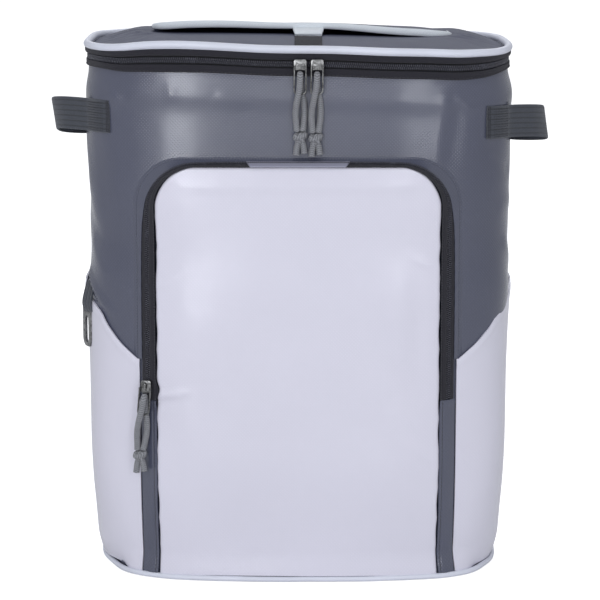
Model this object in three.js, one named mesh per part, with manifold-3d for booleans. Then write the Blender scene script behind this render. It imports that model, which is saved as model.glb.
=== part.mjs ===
// A soft cooler backpack: insulated body, zipped lid with an access flap, front pocket,
// side pockets, webbing handles, zip pulls, a bottle opener, and a padded back with straps.
// Millimetres, +Z up. The front faces -Y and the origin is the centre of the flat base.
import * as THREE from "three";
import { mergeVertices } from "three/addons/utils/BufferGeometryUtils.js";
import Module from "manifold-3d";

// Body
const bodyWidth = 324;
const bodyDepth = 200;
const bodyHeight = 396;
const bodyWall = 8;
const bodyFloor = 8;
const gap = 0.4;
const cloth = 1.4;

// Lid, measured upwards from the rim of the body
const lidTilt = 0.02;
const lidDroop = 0.0001;
const lidRearDrop = 6;
const lidTapeHeight = 5.7;
const lidTapeLap = 3.1;
const lidChainHeight = 5.6;
const lidChainStand = 1.3;
const lidBandHeight = 5.1;
const lidBandStand = 2.5;
const lidPipingRadius = 2.6;
const lidPipingOut = 0.6;
const lidInset = 2;
const lidCrown = 7;
const lidRiseFront = 85;
const lidRiseSide = 40;
const lidRiseRear = 30;
const lidZipEnd = 0.8;

// Access flap on the lid
const flapWidth = 235;
const flapLength = 98;
const flapFront = -15;
const flapCentre = 3;
const flapThickness = 4;
const flapCorner = 22;
const flapBinding = 2.7;
const flapLift = 6.6;
const flapLiftLoss = 3;
const flapRearGap = 1.7;
const tabWidth = 25;
const tabThickness = 1.8;
const tabReach = 20;
const tabDrop = 5.2;
const patchWidth = 20.5;
const patchLength = 46;
const patchBack = 42;
const pullOffset = 8;

// Front pocket
const pocketHalfWidth = 120.4;
const pocketTop = 327;
const pocketCorner = 36;
const archTightening = 0.3;
const archCornerStops = 6;
const pocketBandSide = 13;
const pocketBandTop = 4;
const pocketLiftSide = 8;
const pocketLiftTop = 12;
const pocketLiftFoot = 3;
const pocketCornerLoss = 0.55;
const pocketCrown = 4.5;
const pocketFoot = 5.6;
const pocketPanelThickness = 2.2;
const pocketZipEnd = 143;
const pocketChainWidth = 5;
const pocketChainStand = 1.5;
const topStripLength = 79;
const topStripThickness = 0.9;

// Side pockets
const sidePocketFront = 123;
const sidePocketBack = 0.765;
const sidePocketGap = 0.8;
const mouthFront = 174;
const mouthRise = 60;
const mouthRun = 100;
const mouthGap = 5.4;
const mouthDepth = 70;

// Webbing
const webbingWidth = 25;
const webbingThickness = 1.8;
const handleHeight = 358;
const handleStart = 151;
const handleStand = 28;
const handleRearDrop = 7;

// Gear loop and bottle opener on the left side
const gearLoopWidth = 12;
const gearLoopThickness = 1.6;
const gearLoopTop = 228;
const gearLoopBottom = 203.5;
const gearLoopStand = 7.6;
const gearLoopSide = -187;
const openerWidth = 19;
const openerLength = 35;
const openerThickness = 1.8;
const openerEye = 4.4;
const openerEyeSide = 1;
const openerBar = 3.2;
const openerSlotWidth = 7;
const openerSlotGap = 3.2;
const openerDot = 0.9;

// Zip sliders, wire pullers and their cords
const sliderLength = 9.6;
const sliderWidth = 8;
const sliderHeight = 3.2;
const bailHeight = 3.4;
const bailThick = 1.2;
const wireRadius = 0.7;
const wireWidth = 8.6;
const wireLength = 22;
const wireStand = 4.6;
const wireLean = 0.055;
const cordRadius = 2;
const cordSides = 8;
const knotWidth = 9.6;
const knotHeight = 8;
const tailLength = 9;

// Back
const backPanelWidth = 212;
const backPanelFoot = 56;
const backPanelTop = 360;
const backPanelThickness = 12;
const backPanelStand = 1.1;
const strapWidth = 62;
const strapThickness = 9;
const strapTopHeight = 357;
const strapTopOut = 52;
const strapLength = 235;
const strapStand = 22;
const strapSpread = 34;
const strapFootHeight = 38;
const strapFootOut = 88;
const buckleWidth = 33;
const buckleLength = 24;
const buckleThickness = 4;
const haulWidth = 110;
const haulHeight = 374;
const haulStand = 26;
const haulRise = 3;

// Base
const basePipingRadius = 2.1;

const colours = {
  grey: new THREE.MeshStandardMaterial({ color: 0x5b5e6f, roughness: 0.42 }),
  white: new THREE.MeshStandardMaterial({ color: 0xdcdbe6, roughness: 0.45 }),
  piping: new THREE.MeshStandardMaterial({ color: 0xd6d7e4, roughness: 0.5 }),
  tape: new THREE.MeshStandardMaterial({ color: 0x3f3d4a, roughness: 0.85 }),
  chain: new THREE.MeshStandardMaterial({ color: 0x2f2f39, roughness: 0.5 }),
  strip: new THREE.MeshStandardMaterial({ color: 0x77768a, roughness: 0.4 }),
  binding: new THREE.MeshStandardMaterial({ color: 0xc3cbe0, roughness: 0.7 }),
  webbing: new THREE.MeshStandardMaterial({ color: 0x464a53, roughness: 0.9 }),
  metal: new THREE.MeshStandardMaterial({ color: 0xb8b8bc, roughness: 0.3, metalness: 1 }),
  cord: new THREE.MeshStandardMaterial({ color: 0x636666, roughness: 0.85 }),
  padding: new THREE.MeshStandardMaterial({ color: 0x4a4c57, roughness: 0.9 }),
  plastic: new THREE.MeshStandardMaterial({ color: 0x22232a, roughness: 0.5 }),
};

// Plan sections of the body, from the base to above the lid: up is a share of the body height,
// width and depth are shares of the body's, and corner is the squareness of the outline.
const bodySections = [
  { up: 0, width: 0.95, depth: 0.985, corner: 2.8 },
  { up: 0.02, width: 0.963, depth: 0.995, corner: 2.95 },
  { up: 0.06, width: 0.975, depth: 1, corner: 3.25 },
  { up: 0.113, width: 0.984, depth: 1, corner: 3.6 },
  { up: 0.18, width: 0.993, depth: 1, corner: 4 },
  { up: 0.27, width: 1, depth: 1, corner: 4.2 },
  { up: 0.56, width: 1, depth: 1, corner: 4.2 },
  { up: 0.65, width: 0.988, depth: 0.995, corner: 4.2 },
  { up: 0.74, width: 0.994, depth: 1, corner: 4.2 },
  { up: 0.87, width: 1.003, depth: 1, corner: 4.2 },
  { up: 1.1, width: 1.003, depth: 1, corner: 4.2 },
];

// Heights of the body's rows of faces, as shares of its height.
const bodyLevels = [0, 0.02, 0.06, 0.113, 0.18, 0.27, 0.42, 0.56, 0.65, 0.74, 0.87, 1];

// Mouth edge of a side pocket, from the front zip towards the side: shares of its run and rise.
const mouthEdge = [
  { along: 0, rise: 0 },
  { along: 0.1, rise: 0.06 },
  { along: 0.25, rise: 0.27 },
  { along: 0.5, rise: 0.68 },
  { along: 0.75, rise: 0.93 },
  { along: 1, rise: 1 },
];

// Course of a side handle from its front seam to its rear one: run is the length along the body
// in shares of the handle's stand-off, out is how far it stands off, sag its share of the drop.
const handleCourse = [
  { run: 0, out: 0, sag: 0 },
  { run: 0.18, out: 0, sag: 0 },
  { run: 0.36, out: 0, sag: 0 },
  { run: 0.54, out: 0, sag: 0 },
  { run: 0.76, out: 0.04, sag: 0 },
  { run: 1.1, out: 0.3, sag: 0 },
  { run: 1.5, out: 0.72, sag: 0.05 },
  { run: 1.85, out: 0.96, sag: 0.2 },
  { run: 2.15, out: 1, sag: 0.45 },
  { run: 2.45, out: 0.88, sag: 0.7 },
  { run: 2.85, out: 0.45, sag: 0.9 },
  { run: 3.3, out: 0.04, sag: 1 },
  { run: 4, out: 0, sag: 1 },
];

const up = new THREE.Vector3(0, 0, 1);

// A smooth curve through one column of a table, read at a value of another column.
function readTable(table, key, column, at) {
  const last = table.length - 1;
  let k = 0;
  while (k < last - 1 && at > table[k + 1][key]) k++;
  const from = table[k];
  const to = table[k + 1];
  const before = table[Math.max(0, k - 1)];
  const after = table[Math.min(last, k + 2)];
  const span = to[key] - from[key];
  const t = THREE.MathUtils.clamp((at - from[key]) / span, 0, 1);
  const slopeFrom = ((to[column] - before[column]) / (to[key] - before[key])) * span;
  const slopeTo = ((after[column] - from[column]) / (after[key] - from[key])) * span;
  const t2 = t * t;
  const t3 = t2 * t;
  return (
    from[column] * (2 * t3 - 3 * t2 + 1) +
    slopeFrom * (t3 - 2 * t2 + t) +
    to[column] * (3 * t2 - 2 * t3) +
    slopeTo * (t3 - t2)
  );
}

const ease = (t) => THREE.MathUtils.smoothstep(t, 0, 1);

// Half of the plan outline at one height, as points with their length from the front centre.
const outlineSteps = 120;
const outlines = new Map();
function outlineAt(z) {
  const key = z.toFixed(2);
  if (outlines.has(key)) return outlines.get(key);
  const share = THREE.MathUtils.clamp(z / bodyHeight, 0, 1.1);
  const a = (bodyWidth / 2) * readTable(bodySections, "up", "width", share);
  const b = (bodyDepth / 2) * readTable(bodySections, "up", "depth", share);
  const n = readTable(bodySections, "up", "corner", share);
  const points = [];
  for (let i = 0; i <= outlineSteps; i++) {
    const turn = (Math.PI * i) / outlineSteps;
    const c = Math.sin(turn);
    const s = -Math.cos(turn);
    const r = ((Math.abs(c) / a) ** n + (Math.abs(s) / b) ** n) ** (-1 / n);
    const last = points[i - 1];
    const length = last ? last.length + Math.hypot(r * c - last.x, r * s - last.y) : 0;
    points.push({ x: r * c, y: r * s, length });
  }
  outlines.set(key, points);
  return points;
}

const halfGirth = (z) => outlineAt(z)[outlineSteps].length;

// A point of the outline at a signed length from the front centre, +X side positive.
function outlinePoint(length, z) {
  const points = outlineAt(z);
  const half = points[outlineSteps].length;
  let s = Math.abs(length);
  let side = Math.sign(length) || 1;
  if (s > half) {
    s = 2 * half - s;
    side = -side;
  }
  let low = 0;
  let high = outlineSteps;
  while (high - low > 1) {
    const middle = (low + high) >> 1;
    if (points[middle].length <= s) low = middle;
    else high = middle;
  }
  const t = (s - points[low].length) / (points[high].length - points[low].length);
  const x = THREE.MathUtils.lerp(points[low].x, points[high].x, t);
  const y = THREE.MathUtils.lerp(points[low].y, points[high].y, t);
  return new THREE.Vector3(side * x, y, z);
}

// Outward normal of the skin, from its slopes along and up.
function skinNormal(length, z) {
  const along = outlinePoint(length + 2, z).sub(outlinePoint(length - 2, z));
  const rise = outlinePoint(length, z + 1.5).sub(outlinePoint(length, Math.max(0, z - 1.5)));
  return along.cross(rise).normalize();
}

// A point at a distance out from the skin. Level offsets stay at the height they are given.
function onSkin(length, z, out, level = false) {
  const normal = skinNormal(length, z);
  if (level) normal.setZ(0).normalize();
  return outlinePoint(length, z).addScaledVector(normal, out);
}

// The lid and the rim under it tilt to one side, droop at both ends and fall to the rear.
function warp(x, y) {
  const back = (y + bodyDepth / 2) / bodyDepth;
  return -lidTilt * x - lidDroop * x * x - lidRearDrop * back;
}

function onWarpedSkin(length, z, out) {
  const point = onSkin(length, z, out, true);
  return point.setZ(z + warp(point.x, point.y));
}

// Lengths round the outline, closer together at the corners, as shares of the half girth.
const ringShares = [0.07, 0.14, 0.2, 0.24, 0.265, 0.29, 0.315, 0.34, 0.365, 0.4, 0.455];
function ringColumns(z) {
  const half = halfGirth(z);
  const side = [0, ...ringShares, 0.5, ...ringShares.map((s) => 1 - s).reverse()];
  return [...side.map((s) => s * half), half, ...side.slice(1).reverse().map((s) => -s * half)];
}
const ringCount = ringColumns(bodyHeight).length;

// Collects triangles and makes the geometry of one closed piece.
class Faces {
  constructor() {
    this.corners = [];
  }
  triangle(a, b, c) {
    this.corners.push(a, b, c);
  }
  quad(a, b, c, d) {
    this.triangle(a, b, c);
    this.triangle(a, c, d);
  }
  geometry() {
    return new THREE.BufferGeometry().setFromPoints(this.corners);
  }
}

const grid = (columns, rows, place) =>
  Array.from({ length: rows }, (_, j) =>
    Array.from({ length: columns }, (_, i) => place(i, j)),
  );

// A wall between an outer and an inner grid of points. Columns run to the left seen from
// inside, rows run up, and closed joins the last column to the first.
function wallBetween(outer, inner, closed = false) {
  const faces = new Faces();
  const rows = outer.length;
  const columns = outer[0].length;
  const lastColumn = closed ? columns : columns - 1;
  for (let i = 0; i < lastColumn; i++) {
    const k = (i + 1) % columns;
    for (let j = 0; j < rows - 1; j++) {
      faces.quad(outer[j][i], outer[j][k], outer[j + 1][k], outer[j + 1][i]);
      faces.quad(inner[j][i], inner[j + 1][i], inner[j + 1][k], inner[j][k]);
    }
    const top = rows - 1;
    faces.quad(inner[0][i], inner[0][k], outer[0][k], outer[0][i]);
    faces.quad(outer[top][i], outer[top][k], inner[top][k], inner[top][i]);
  }
  if (!closed) {
    const end = columns - 1;
    for (let j = 0; j < rows - 1; j++) {
      faces.quad(inner[j][0], outer[j][0], outer[j + 1][0], inner[j + 1][0]);
      faces.quad(outer[j][end], inner[j][end], inner[j + 1][end], outer[j + 1][end]);
    }
  }
  return faces.geometry();
}

// A solid from a list of sections, each a loop of points that turns left about the way along.
function loft(sections, closed = false) {
  const faces = new Faces();
  const sides = sections[0].length;
  const last = closed ? sections.length : sections.length - 1;
  for (let i = 0; i < last; i++) {
    const next = sections[(i + 1) % sections.length];
    for (let k = 0; k < sides; k++) {
      const m = (k + 1) % sides;
      faces.quad(sections[i][k], sections[i][m], next[m], next[k]);
    }
  }
  if (!closed) {
    const start = sections[0];
    const end = sections[sections.length - 1];
    for (let k = 1; k < sides - 1; k++) {
      faces.triangle(start[0], start[k + 1], start[k]);
      faces.triangle(end[0], end[k], end[k + 1]);
    }
  }
  return faces.geometry();
}

// Sections of one profile along a course. A profile point holds across and out: across is the
// way from the outward normal turned about the course, and out is along that normal.
function sectionsAlong(course, profile) {
  const last = course.length - 1;
  return course.map((stop, i) => {
    const before = course[stop.loop ? (i + last) % course.length : Math.max(0, i - 1)];
    const after = course[stop.loop ? (i + 1) % course.length : Math.min(last, i + 1)];
    const along = after.point.clone().sub(before.point).normalize();
    const across = stop.normal.clone().cross(along).normalize();
    const out = along.clone().cross(across);
    return profile.map(([p, q]) =>
      stop.point.clone().addScaledVector(across, p).addScaledVector(out, q),
    );
  });
}

function roundProfile(radius, sides, start = 0) {
  return Array.from({ length: sides }, (_, k) => {
    const angle = start + (2 * Math.PI * k) / sides;
    return [radius * Math.cos(angle), radius * Math.sin(angle)];
  });
}

function flatProfile(width, thickness) {
  const w = width / 2;
  const t = thickness / 2;
  return [[-w, -t], [w, -t], [w, t], [-w, t]];
}

// A ring round the warped rim: its profile is a list of out and height, outer side first.
function rimRing(z, profile, from = -1, to = 1) {
  const whole = from <= -1 && to >= 1;
  const half = halfGirth(z);
  let lengths = ringColumns(z);
  if (!whole) {
    lengths = [...lengths.slice(ringCount / 2 + 1), ...lengths.slice(0, ringCount / 2 + 1)];
    const inner = lengths.filter((s) => s > from * half + 4 && s < to * half - 4);
    lengths = [from * half, ...inner, to * half];
  }
  const sections = lengths.map((s) =>
    profile.map(([out, height]) => onWarpedSkin(s, z + height, out)),
  );
  return loft(sections, whole);
}

function insulatedBody() {
  const rim = (share, out) => (i) => {
    const s = ringColumns(share * bodyHeight)[i];
    const point = onSkin(s, share * bodyHeight, out, true);
    const settle = ease((share - 0.4) / 0.6);
    return point.setZ(point.z + settle * warp(point.x, point.y));
  };
  const outer = bodyLevels.map((share) =>
    Array.from({ length: ringCount }, (_, i) => rim(share, 0)(i)),
  );
  const floorShare = bodyFloor / bodyHeight;
  const innerLevels = [floorShare, 0.14, 0.4, 0.7, 1];
  const inner = innerLevels.map((share) =>
    Array.from({ length: ringCount }, (_, i) => rim(share, -bodyWall)(i)),
  );
  const faces = new Faces();
  const baseCentre = new THREE.Vector3(0, 0, 0);
  const floorCentre = new THREE.Vector3(0, 0, bodyFloor);
  const top = outer.length - 1;
  const innerTop = inner.length - 1;
  for (let i = 0; i < ringCount; i++) {
    const k = (i + 1) % ringCount;
    for (let j = 0; j < top; j++) {
      faces.quad(outer[j][i], outer[j][k], outer[j + 1][k], outer[j + 1][i]);
    }
    for (let j = 0; j < innerTop; j++) {
      faces.quad(inner[j][i], inner[j + 1][i], inner[j + 1][k], inner[j][k]);
    }
    faces.quad(outer[top][i], outer[top][k], inner[innerTop][k], inner[innerTop][i]);
    faces.triangle(outer[0][k], outer[0][i], baseCentre);
    faces.triangle(inner[0][i], inner[0][k], floorCentre);
  }
  return faces.geometry();
}

// The white welt that closes the foot of the body all round.
function basePiping() {
  const z = basePipingRadius + 0.1;
  const half = halfGirth(z);
  const course = ringColumns(z).map((s) => ({
    point: onSkin(s, z, basePipingRadius + gap, true),
    normal: skinNormal(s * (1 - 1e-6), z).setZ(0).normalize(),
    loop: half > 0,
  }));
  return loft(sectionsAlong(course, roundProfile(basePipingRadius, 4, Math.PI / 4)), true);
}

// Front pocket: how far its face stands off the skin at a point of the front.
function pocketLift(x, z) {
  const foot = ease((z - pocketFoot) / 95);
  const side = THREE.MathUtils.lerp(pocketLiftFoot, pocketLiftSide, foot);
  const top = ease((z - (pocketTop - 80)) / 80);
  const corner = pocketCornerLoss * Math.abs(x / pocketHalfWidth) ** 6;
  const edge = side + (pocketLiftTop - pocketLiftSide) * top * (1 - corner);
  const inside = 1 - Math.abs(x / (pocketHalfWidth - pocketBandSide)) ** 2.4;
  return edge + pocketCrown * Math.max(0, inside) * foot * (1 - top);
}

// The rounded arch that the pocket's zip follows, inset by shares of the band's width. The way
// round is 0 to 1: up the left side, round a corner, across the top and down again.
const archSide = 0.3;
const archCorner = 0.4;

function archPoint(t, inset) {
  const half = t <= 0.5 ? -1 : 1;
  const way = t <= 0.5 ? t : 1 - t;
  const halfWidth = pocketHalfWidth - pocketBandSide * inset;
  const top = pocketTop - pocketBandTop * inset;
  const radius = pocketCorner - pocketBandSide * archTightening * inset;
  if (way <= archSide) {
    const z = THREE.MathUtils.lerp(pocketZipEnd, top - radius, way / archSide);
    return { x: half * halfWidth, z };
  }
  if (way <= archCorner) {
    const angle = (Math.PI / 2) * ((way - archSide) / (archCorner - archSide));
    return {
      x: half * (halfWidth - radius + radius * Math.cos(angle)),
      z: top - radius + radius * Math.sin(angle),
    };
  }
  const share = (0.5 - way) / (0.5 - archCorner);
  return { x: half * (halfWidth - radius) * share, z: top };
}

// A point of the zip band: inset 0 is its outer edge on the body, 1 its inner edge at the panel.
function bandPoint(t, inset, raise) {
  const { x, z } = archPoint(t, inset);
  const edge = pocketLift(x, z);
  const stand = THREE.MathUtils.lerp(cloth + gap, edge, ease(inset) * 0.5 + inset * 0.5);
  return onSkin(x, z, stand + raise);
}

const cornerShares = Array.from({ length: archCornerStops + 1 }, (_, k) => k / archCornerStops);
const archHalf = [
  0, 0.1, 0.2, ...cornerShares.map((k) => archSide + k * (archCorner - archSide)), 0.45,
];
const archTurns = [...archHalf, 0.5, ...archHalf.map((t) => 1 - t).reverse()];

function pocketZipTape() {
  const insets = [0, 0.33, 0.67, 1];
  const outer = grid(archTurns.length, insets.length, (i, j) => bandPoint(archTurns[i], insets[j], 0));
  const inner = grid(archTurns.length, insets.length, (i, j) =>
    bandPoint(archTurns[i], insets[j], -cloth),
  );
  return wallBetween(inner, outer);
}

function pocketZipChain() {
  const half = pocketChainWidth / pocketBandSide / 2;
  const middle = 0.5;
  const sections = archTurns.map((t) => {
    const low = gap;
    const high = gap + pocketChainStand;
    return [
      bandPoint(t, middle - half, low),
      bandPoint(t, middle - half * 0.6, high),
      bandPoint(t, middle + half * 0.6, high),
      bandPoint(t, middle + half, low),
    ];
  });
  return loft(sections);
}

function pocketPanel() {
  const halfWidth = pocketHalfWidth - pocketBandSide - gap;
  const top = pocketTop - pocketBandTop - gap;
  const radius = pocketCorner - pocketBandSide * archTightening - gap;
  const straight = (top - radius - pocketFoot) / (top - pocketFoot);
  const sides = [0, 0.07, 0.16, 0.3, 0.48, 0.66, 0.84].map((share) => share * straight);
  const turns = cornerShares.map((k) => Math.sin((Math.PI / 2) * k));
  const rows = [...sides, ...turns.map((share) => straight + share * (1 - straight))];
  const shares = [-1, -0.94, -0.82, -0.6, -0.3, 0, 0.3, 0.6, 0.82, 0.94, 1];
  const place = (raise) => (i, j) => {
    const z = THREE.MathUtils.lerp(pocketFoot, top, rows[j]);
    const over = Math.max(0, z - (top - radius));
    const reach = halfWidth - radius + Math.sqrt(Math.max(0, radius * radius - over * over));
    const x = shares[i] * reach;
    return onSkin(x, z, pocketLift(x, z) + raise);
  };
  const outer = grid(shares.length, rows.length, place(0));
  const inner = grid(shares.length, rows.length, place(-pocketPanelThickness));
  return wallBetween(outer, inner);
}

// The grey strips that run from the ends of the zip to the foot.
function pocketStrip(side) {
  const rows = [0, 0.1, 0.25, 0.45, 0.7, 1];
  const insets = [0.02, 0.5, 1];
  const place = (raise) => (i, j) => {
    const z = THREE.MathUtils.lerp(pocketFoot, pocketZipEnd - gap, rows[j]);
    const inset = insets[side < 0 ? i : insets.length - 1 - i];
    const x = side * (pocketHalfWidth - pocketBandSide * inset);
    const stand = THREE.MathUtils.lerp(cloth + gap, pocketLift(x, z), inset);
    return onSkin(x, z, stand + raise);
  };
  const outer = grid(insets.length, rows.length, place(0));
  const inner = grid(insets.length, rows.length, place(-cloth));
  return wallBetween(outer, inner);
}

// The light strip that covers the zip at the middle of the pocket's top.
function pocketTopStrip() {
  const across = 2 * (pocketHalfWidth - pocketCorner);
  const span = (1 - 2 * archCorner) * (topStripLength / across);
  const stops = 8;
  const insets = [0.12, 0.96];
  const stand = gap + pocketChainStand + gap;
  const place = (raise) => (i, j) =>
    bandPoint(0.5 - span / 2 + (span * i) / stops, insets[j], stand + raise);
  const outer = grid(stops + 1, insets.length, place(topStripThickness));
  const inner = grid(stops + 1, insets.length, place(0));
  return wallBetween(inner, outer);
}

// Side pockets: height of the mouth and how far the wall stands off there.
function mouthHeight(s) {
  const along = THREE.MathUtils.clamp((Math.abs(s) - sidePocketFront) / mouthRun, 0, 1);
  return mouthFront + mouthRise * readTable(mouthEdge, "along", "rise", along);
}

function sidePocket(side) {
  const levels = bodyLevels.slice(1, 6).map((share) => share * bodyHeight);
  const upper = [0.3, 0.6, 0.85, 1];
  const last = levels[levels.length - 1];
  const inner = ringShares.concat(0.5, ringShares.map((s) => 1 - s).reverse());
  const front = sidePocketFront / halfGirth(bodyHeight / 2);
  const shares = inner.filter((s) => s > front + 0.012 && s < sidePocketBack - 0.012);
  const columns = shares.length + 2;
  const rows = 1 + levels.length + upper.length;
  const place = (raise) => (i, j) => {
    const k = side > 0 ? i : columns - 1 - i;
    const middle = halfGirth(bodyHeight / 2);
    const share = k === columns - 1 ? sidePocketBack : shares[k - 1];
    const s = k === 0 ? sidePocketFront : share * middle;
    const mouth = mouthHeight(s);
    let z = pocketFoot;
    if (j > 0) z = levels[j - 1];
    if (j > levels.length) z = THREE.MathUtils.lerp(last, mouth, upper[j - levels.length - 1]);
    const t = (s - sidePocketFront) / (sidePocketBack * middle - sidePocketFront);
    const open = Math.sin(Math.PI * THREE.MathUtils.clamp((t - 0.2) / 0.75, 0, 1)) ** 1.5;
    const near = ease(1 - (mouth - z) / mouthDepth);
    const length = k === 0 ? s : share * halfGirth(z);
    return onSkin(side * length, z, sidePocketGap + mouthGap * open * near + raise);
  };
  const outer = grid(columns, rows, place(cloth));
  const lining = grid(columns, rows, place(0));
  return wallBetween(outer, lining);
}

// Lid: top of the padded panel inside its piping.
const lidPipingHeight = () =>
  bodyHeight - lidTapeLap + lidTapeHeight + gap + lidChainHeight + gap + lidBandHeight +
  gap + lidPipingRadius;

function lidTop(x, y) {
  const halfDepth = bodyDepth / 2;
  const fromFront = ease((y + halfDepth) / lidRiseFront);
  const fromRear = ease((halfDepth - y) / lidRiseRear);
  const fromSide = ease((bodyWidth / 2 - Math.abs(x)) / lidRiseSide);
  const edge = lidPipingHeight() - lidPipingRadius + 0.5;
  return edge + warp(x, y) + lidCrown * fromFront * fromRear * fromSide;
}

function lidPanel() {
  const z = bodyHeight;
  const underside = z - lidTapeLap + lidTapeHeight + lidChainHeight + 2 * gap + 0.1;
  const shares = [1, 0.95, 0.88, 0.78, 0.6, 0.33];
  const rim = ringColumns(z).map((s) => onSkin(s, z, -lidInset, true));
  const place = (p, share, height) => {
    const x = p.x * share;
    const y = p.y * share;
    return new THREE.Vector3(x, y, height(x, y));
  };
  const below = (x, y) => underside + warp(x, y);
  const tops = shares.map((share) => rim.map((p) => place(p, share, lidTop)));
  const bottom = rim.map((p) => place(p, 1, below));
  const bottomMiddle = rim.map((p) => place(p, 0.5, below));
  const topCentre = new THREE.Vector3(0, 0, lidTop(0, 0));
  const bottomCentre = new THREE.Vector3(0, 0, below(0, 0));
  const faces = new Faces();
  const inmost = shares.length - 1;
  for (let i = 0; i < ringCount; i++) {
    const k = (i + 1) % ringCount;
    faces.quad(bottom[i], bottom[k], tops[0][k], tops[0][i]);
    for (let j = 0; j < inmost; j++) {
      faces.quad(tops[j][i], tops[j][k], tops[j + 1][k], tops[j + 1][i]);
    }
    faces.triangle(tops[inmost][i], tops[inmost][k], topCentre);
    faces.quad(bottom[i], bottomMiddle[i], bottomMiddle[k], bottom[k]);
    faces.triangle(bottomMiddle[k], bottomMiddle[i], bottomCentre);
  }
  return faces.geometry();
}

function lidPiping() {
  const profile = roundProfile(lidPipingRadius, 6, Math.PI / 6).map(([out, height]) => [
    out + lidPipingOut,
    height + lidPipingHeight() - bodyHeight,
  ]);
  return rimRing(bodyHeight, turned(profile));
}

// Rim profiles are drawn with out to the right and up upwards, which runs against the rim.
const turned = (profile) => [...profile].reverse();

function rimBox(low, height, inner, outer) {
  return turned([[inner, low], [outer, low], [outer, low + height], [inner, low + height]]);
}

const tapeLow = -lidTapeLap;
const chainLow = tapeLow + lidTapeHeight + gap;
const bandLow = chainLow + lidChainHeight + gap;

const lidZipTape = () =>
  rimRing(bodyHeight, rimBox(tapeLow, lidTapeHeight, gap, gap + cloth * 0.8), -lidZipEnd, lidZipEnd);
const lidZipChain = () =>
  rimRing(bodyHeight, rimBox(chainLow, lidChainHeight, -3.4, lidChainStand), -lidZipEnd, lidZipEnd);
const lidBand = () =>
  rimRing(bodyHeight, rimBox(bandLow, lidBandHeight, gap - lidInset, lidBandStand));

// The cloth hinge that closes the rim behind the ends of the zip.
function lidHinge() {
  const half = halfGirth(bodyHeight);
  const from = lidZipEnd * half + 2;
  const to = 2 * half - from;
  const height = lidTapeHeight + gap + lidChainHeight;
  const profile = rimBox(tapeLow, height, gap, gap + cloth);
  const stops = 12;
  const sections = Array.from({ length: stops + 1 }, (_, i) => {
    const s = THREE.MathUtils.lerp(from, to, i / stops);
    return profile.map(([out, h]) => onWarpedSkin(s, bodyHeight + h, out));
  });
  return loft(sections);
}

// Access flap: shares of the turn round a front corner, and the height of its middle over the lid.
const flapTurns = [0, 0.2, 0.4, 0.6, 0.8, 1];

function flapHeight(x, y) {
  const t = THREE.MathUtils.clamp((y - flapFront) / flapLength, 0, 1);
  const right = ease((x - flapCentre) / (flapWidth / 2));
  const front = flapLift - flapLiftLoss * right;
  const rear = flapBinding + flapRearGap;
  return lidTop(x, y) + THREE.MathUtils.lerp(front, rear, ease(t));
}

function accessFlap() {
  const inset = flapBinding * 0.9 + gap;
  const straight = [0.12, 0.3, 0.5, 0.68, 0.82, 0.92, 1];
  const rows = flapTurns.map((k) => {
    const angle = (Math.PI / 2) * k;
    const r = flapCorner - inset;
    return {
      y: flapFront + flapCorner - r * Math.cos(angle),
      reach: flapWidth / 2 - flapCorner + r * Math.sin(angle),
    };
  });
  for (const share of straight) {
    const y = THREE.MathUtils.lerp(flapFront + flapCorner, flapFront + flapLength, share);
    rows.push({ y, reach: flapWidth / 2 - inset });
  }
  const shares = [-1, -0.85, -0.6, -0.3, 0, 0.3, 0.6, 0.85, 1];
  const place = (raise) => (i, j) => {
    const { y, reach } = rows[j];
    const x = flapCentre + shares[i] * reach;
    return new THREE.Vector3(x, y, flapHeight(x, y) + raise);
  };
  const top = grid(shares.length, rows.length, place(flapThickness / 2));
  const bottom = grid(shares.length, rows.length, place(-flapThickness / 2));
  return wallBetween(top, bottom);
}

function flapBindingEdge() {
  const course = [];
  const add = (x, y) =>
    course.push({ point: new THREE.Vector3(x, y, flapHeight(x, y) + 0.1), normal: up.clone() });
  const half = flapWidth / 2;
  const rear = flapFront + flapLength;
  const inset = flapBinding * 0.45;
  const r = flapCorner - inset;
  const sideStops = [1, 0.66, 0.33];
  for (const t of sideStops) {
    add(flapCentre - half + inset, THREE.MathUtils.lerp(flapFront + flapCorner, rear, t));
  }
  const corner = (side, k) => {
    const angle = (Math.PI / 2) * k;
    const x = half - flapCorner + r * Math.sin(angle);
    add(flapCentre + side * x, flapFront + flapCorner - r * Math.cos(angle));
  };
  for (const k of [...flapTurns].reverse()) corner(-1, k);
  for (const t of [0.2, 0.4, 0.6, 0.8]) {
    add(flapCentre - half + flapCorner + t * (flapWidth - 2 * flapCorner), flapFront + inset);
  }
  for (const k of flapTurns) corner(1, k);
  for (const t of [...sideStops].reverse()) {
    add(flapCentre + half - inset, THREE.MathUtils.lerp(flapFront + flapCorner, rear, t));
  }
  const profile = [
    [-flapBinding * 0.45, -flapBinding],
    [flapBinding * 0.2, -flapBinding],
    [flapBinding * 0.45, 0],
    [flapBinding * 0.2, flapBinding],
    [-flapBinding * 0.45, flapBinding],
  ];
  const sides = profile.map(([p, q]) => [-p, q]).reverse();
  return loft(sectionsAlong(course, sides));
}

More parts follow.
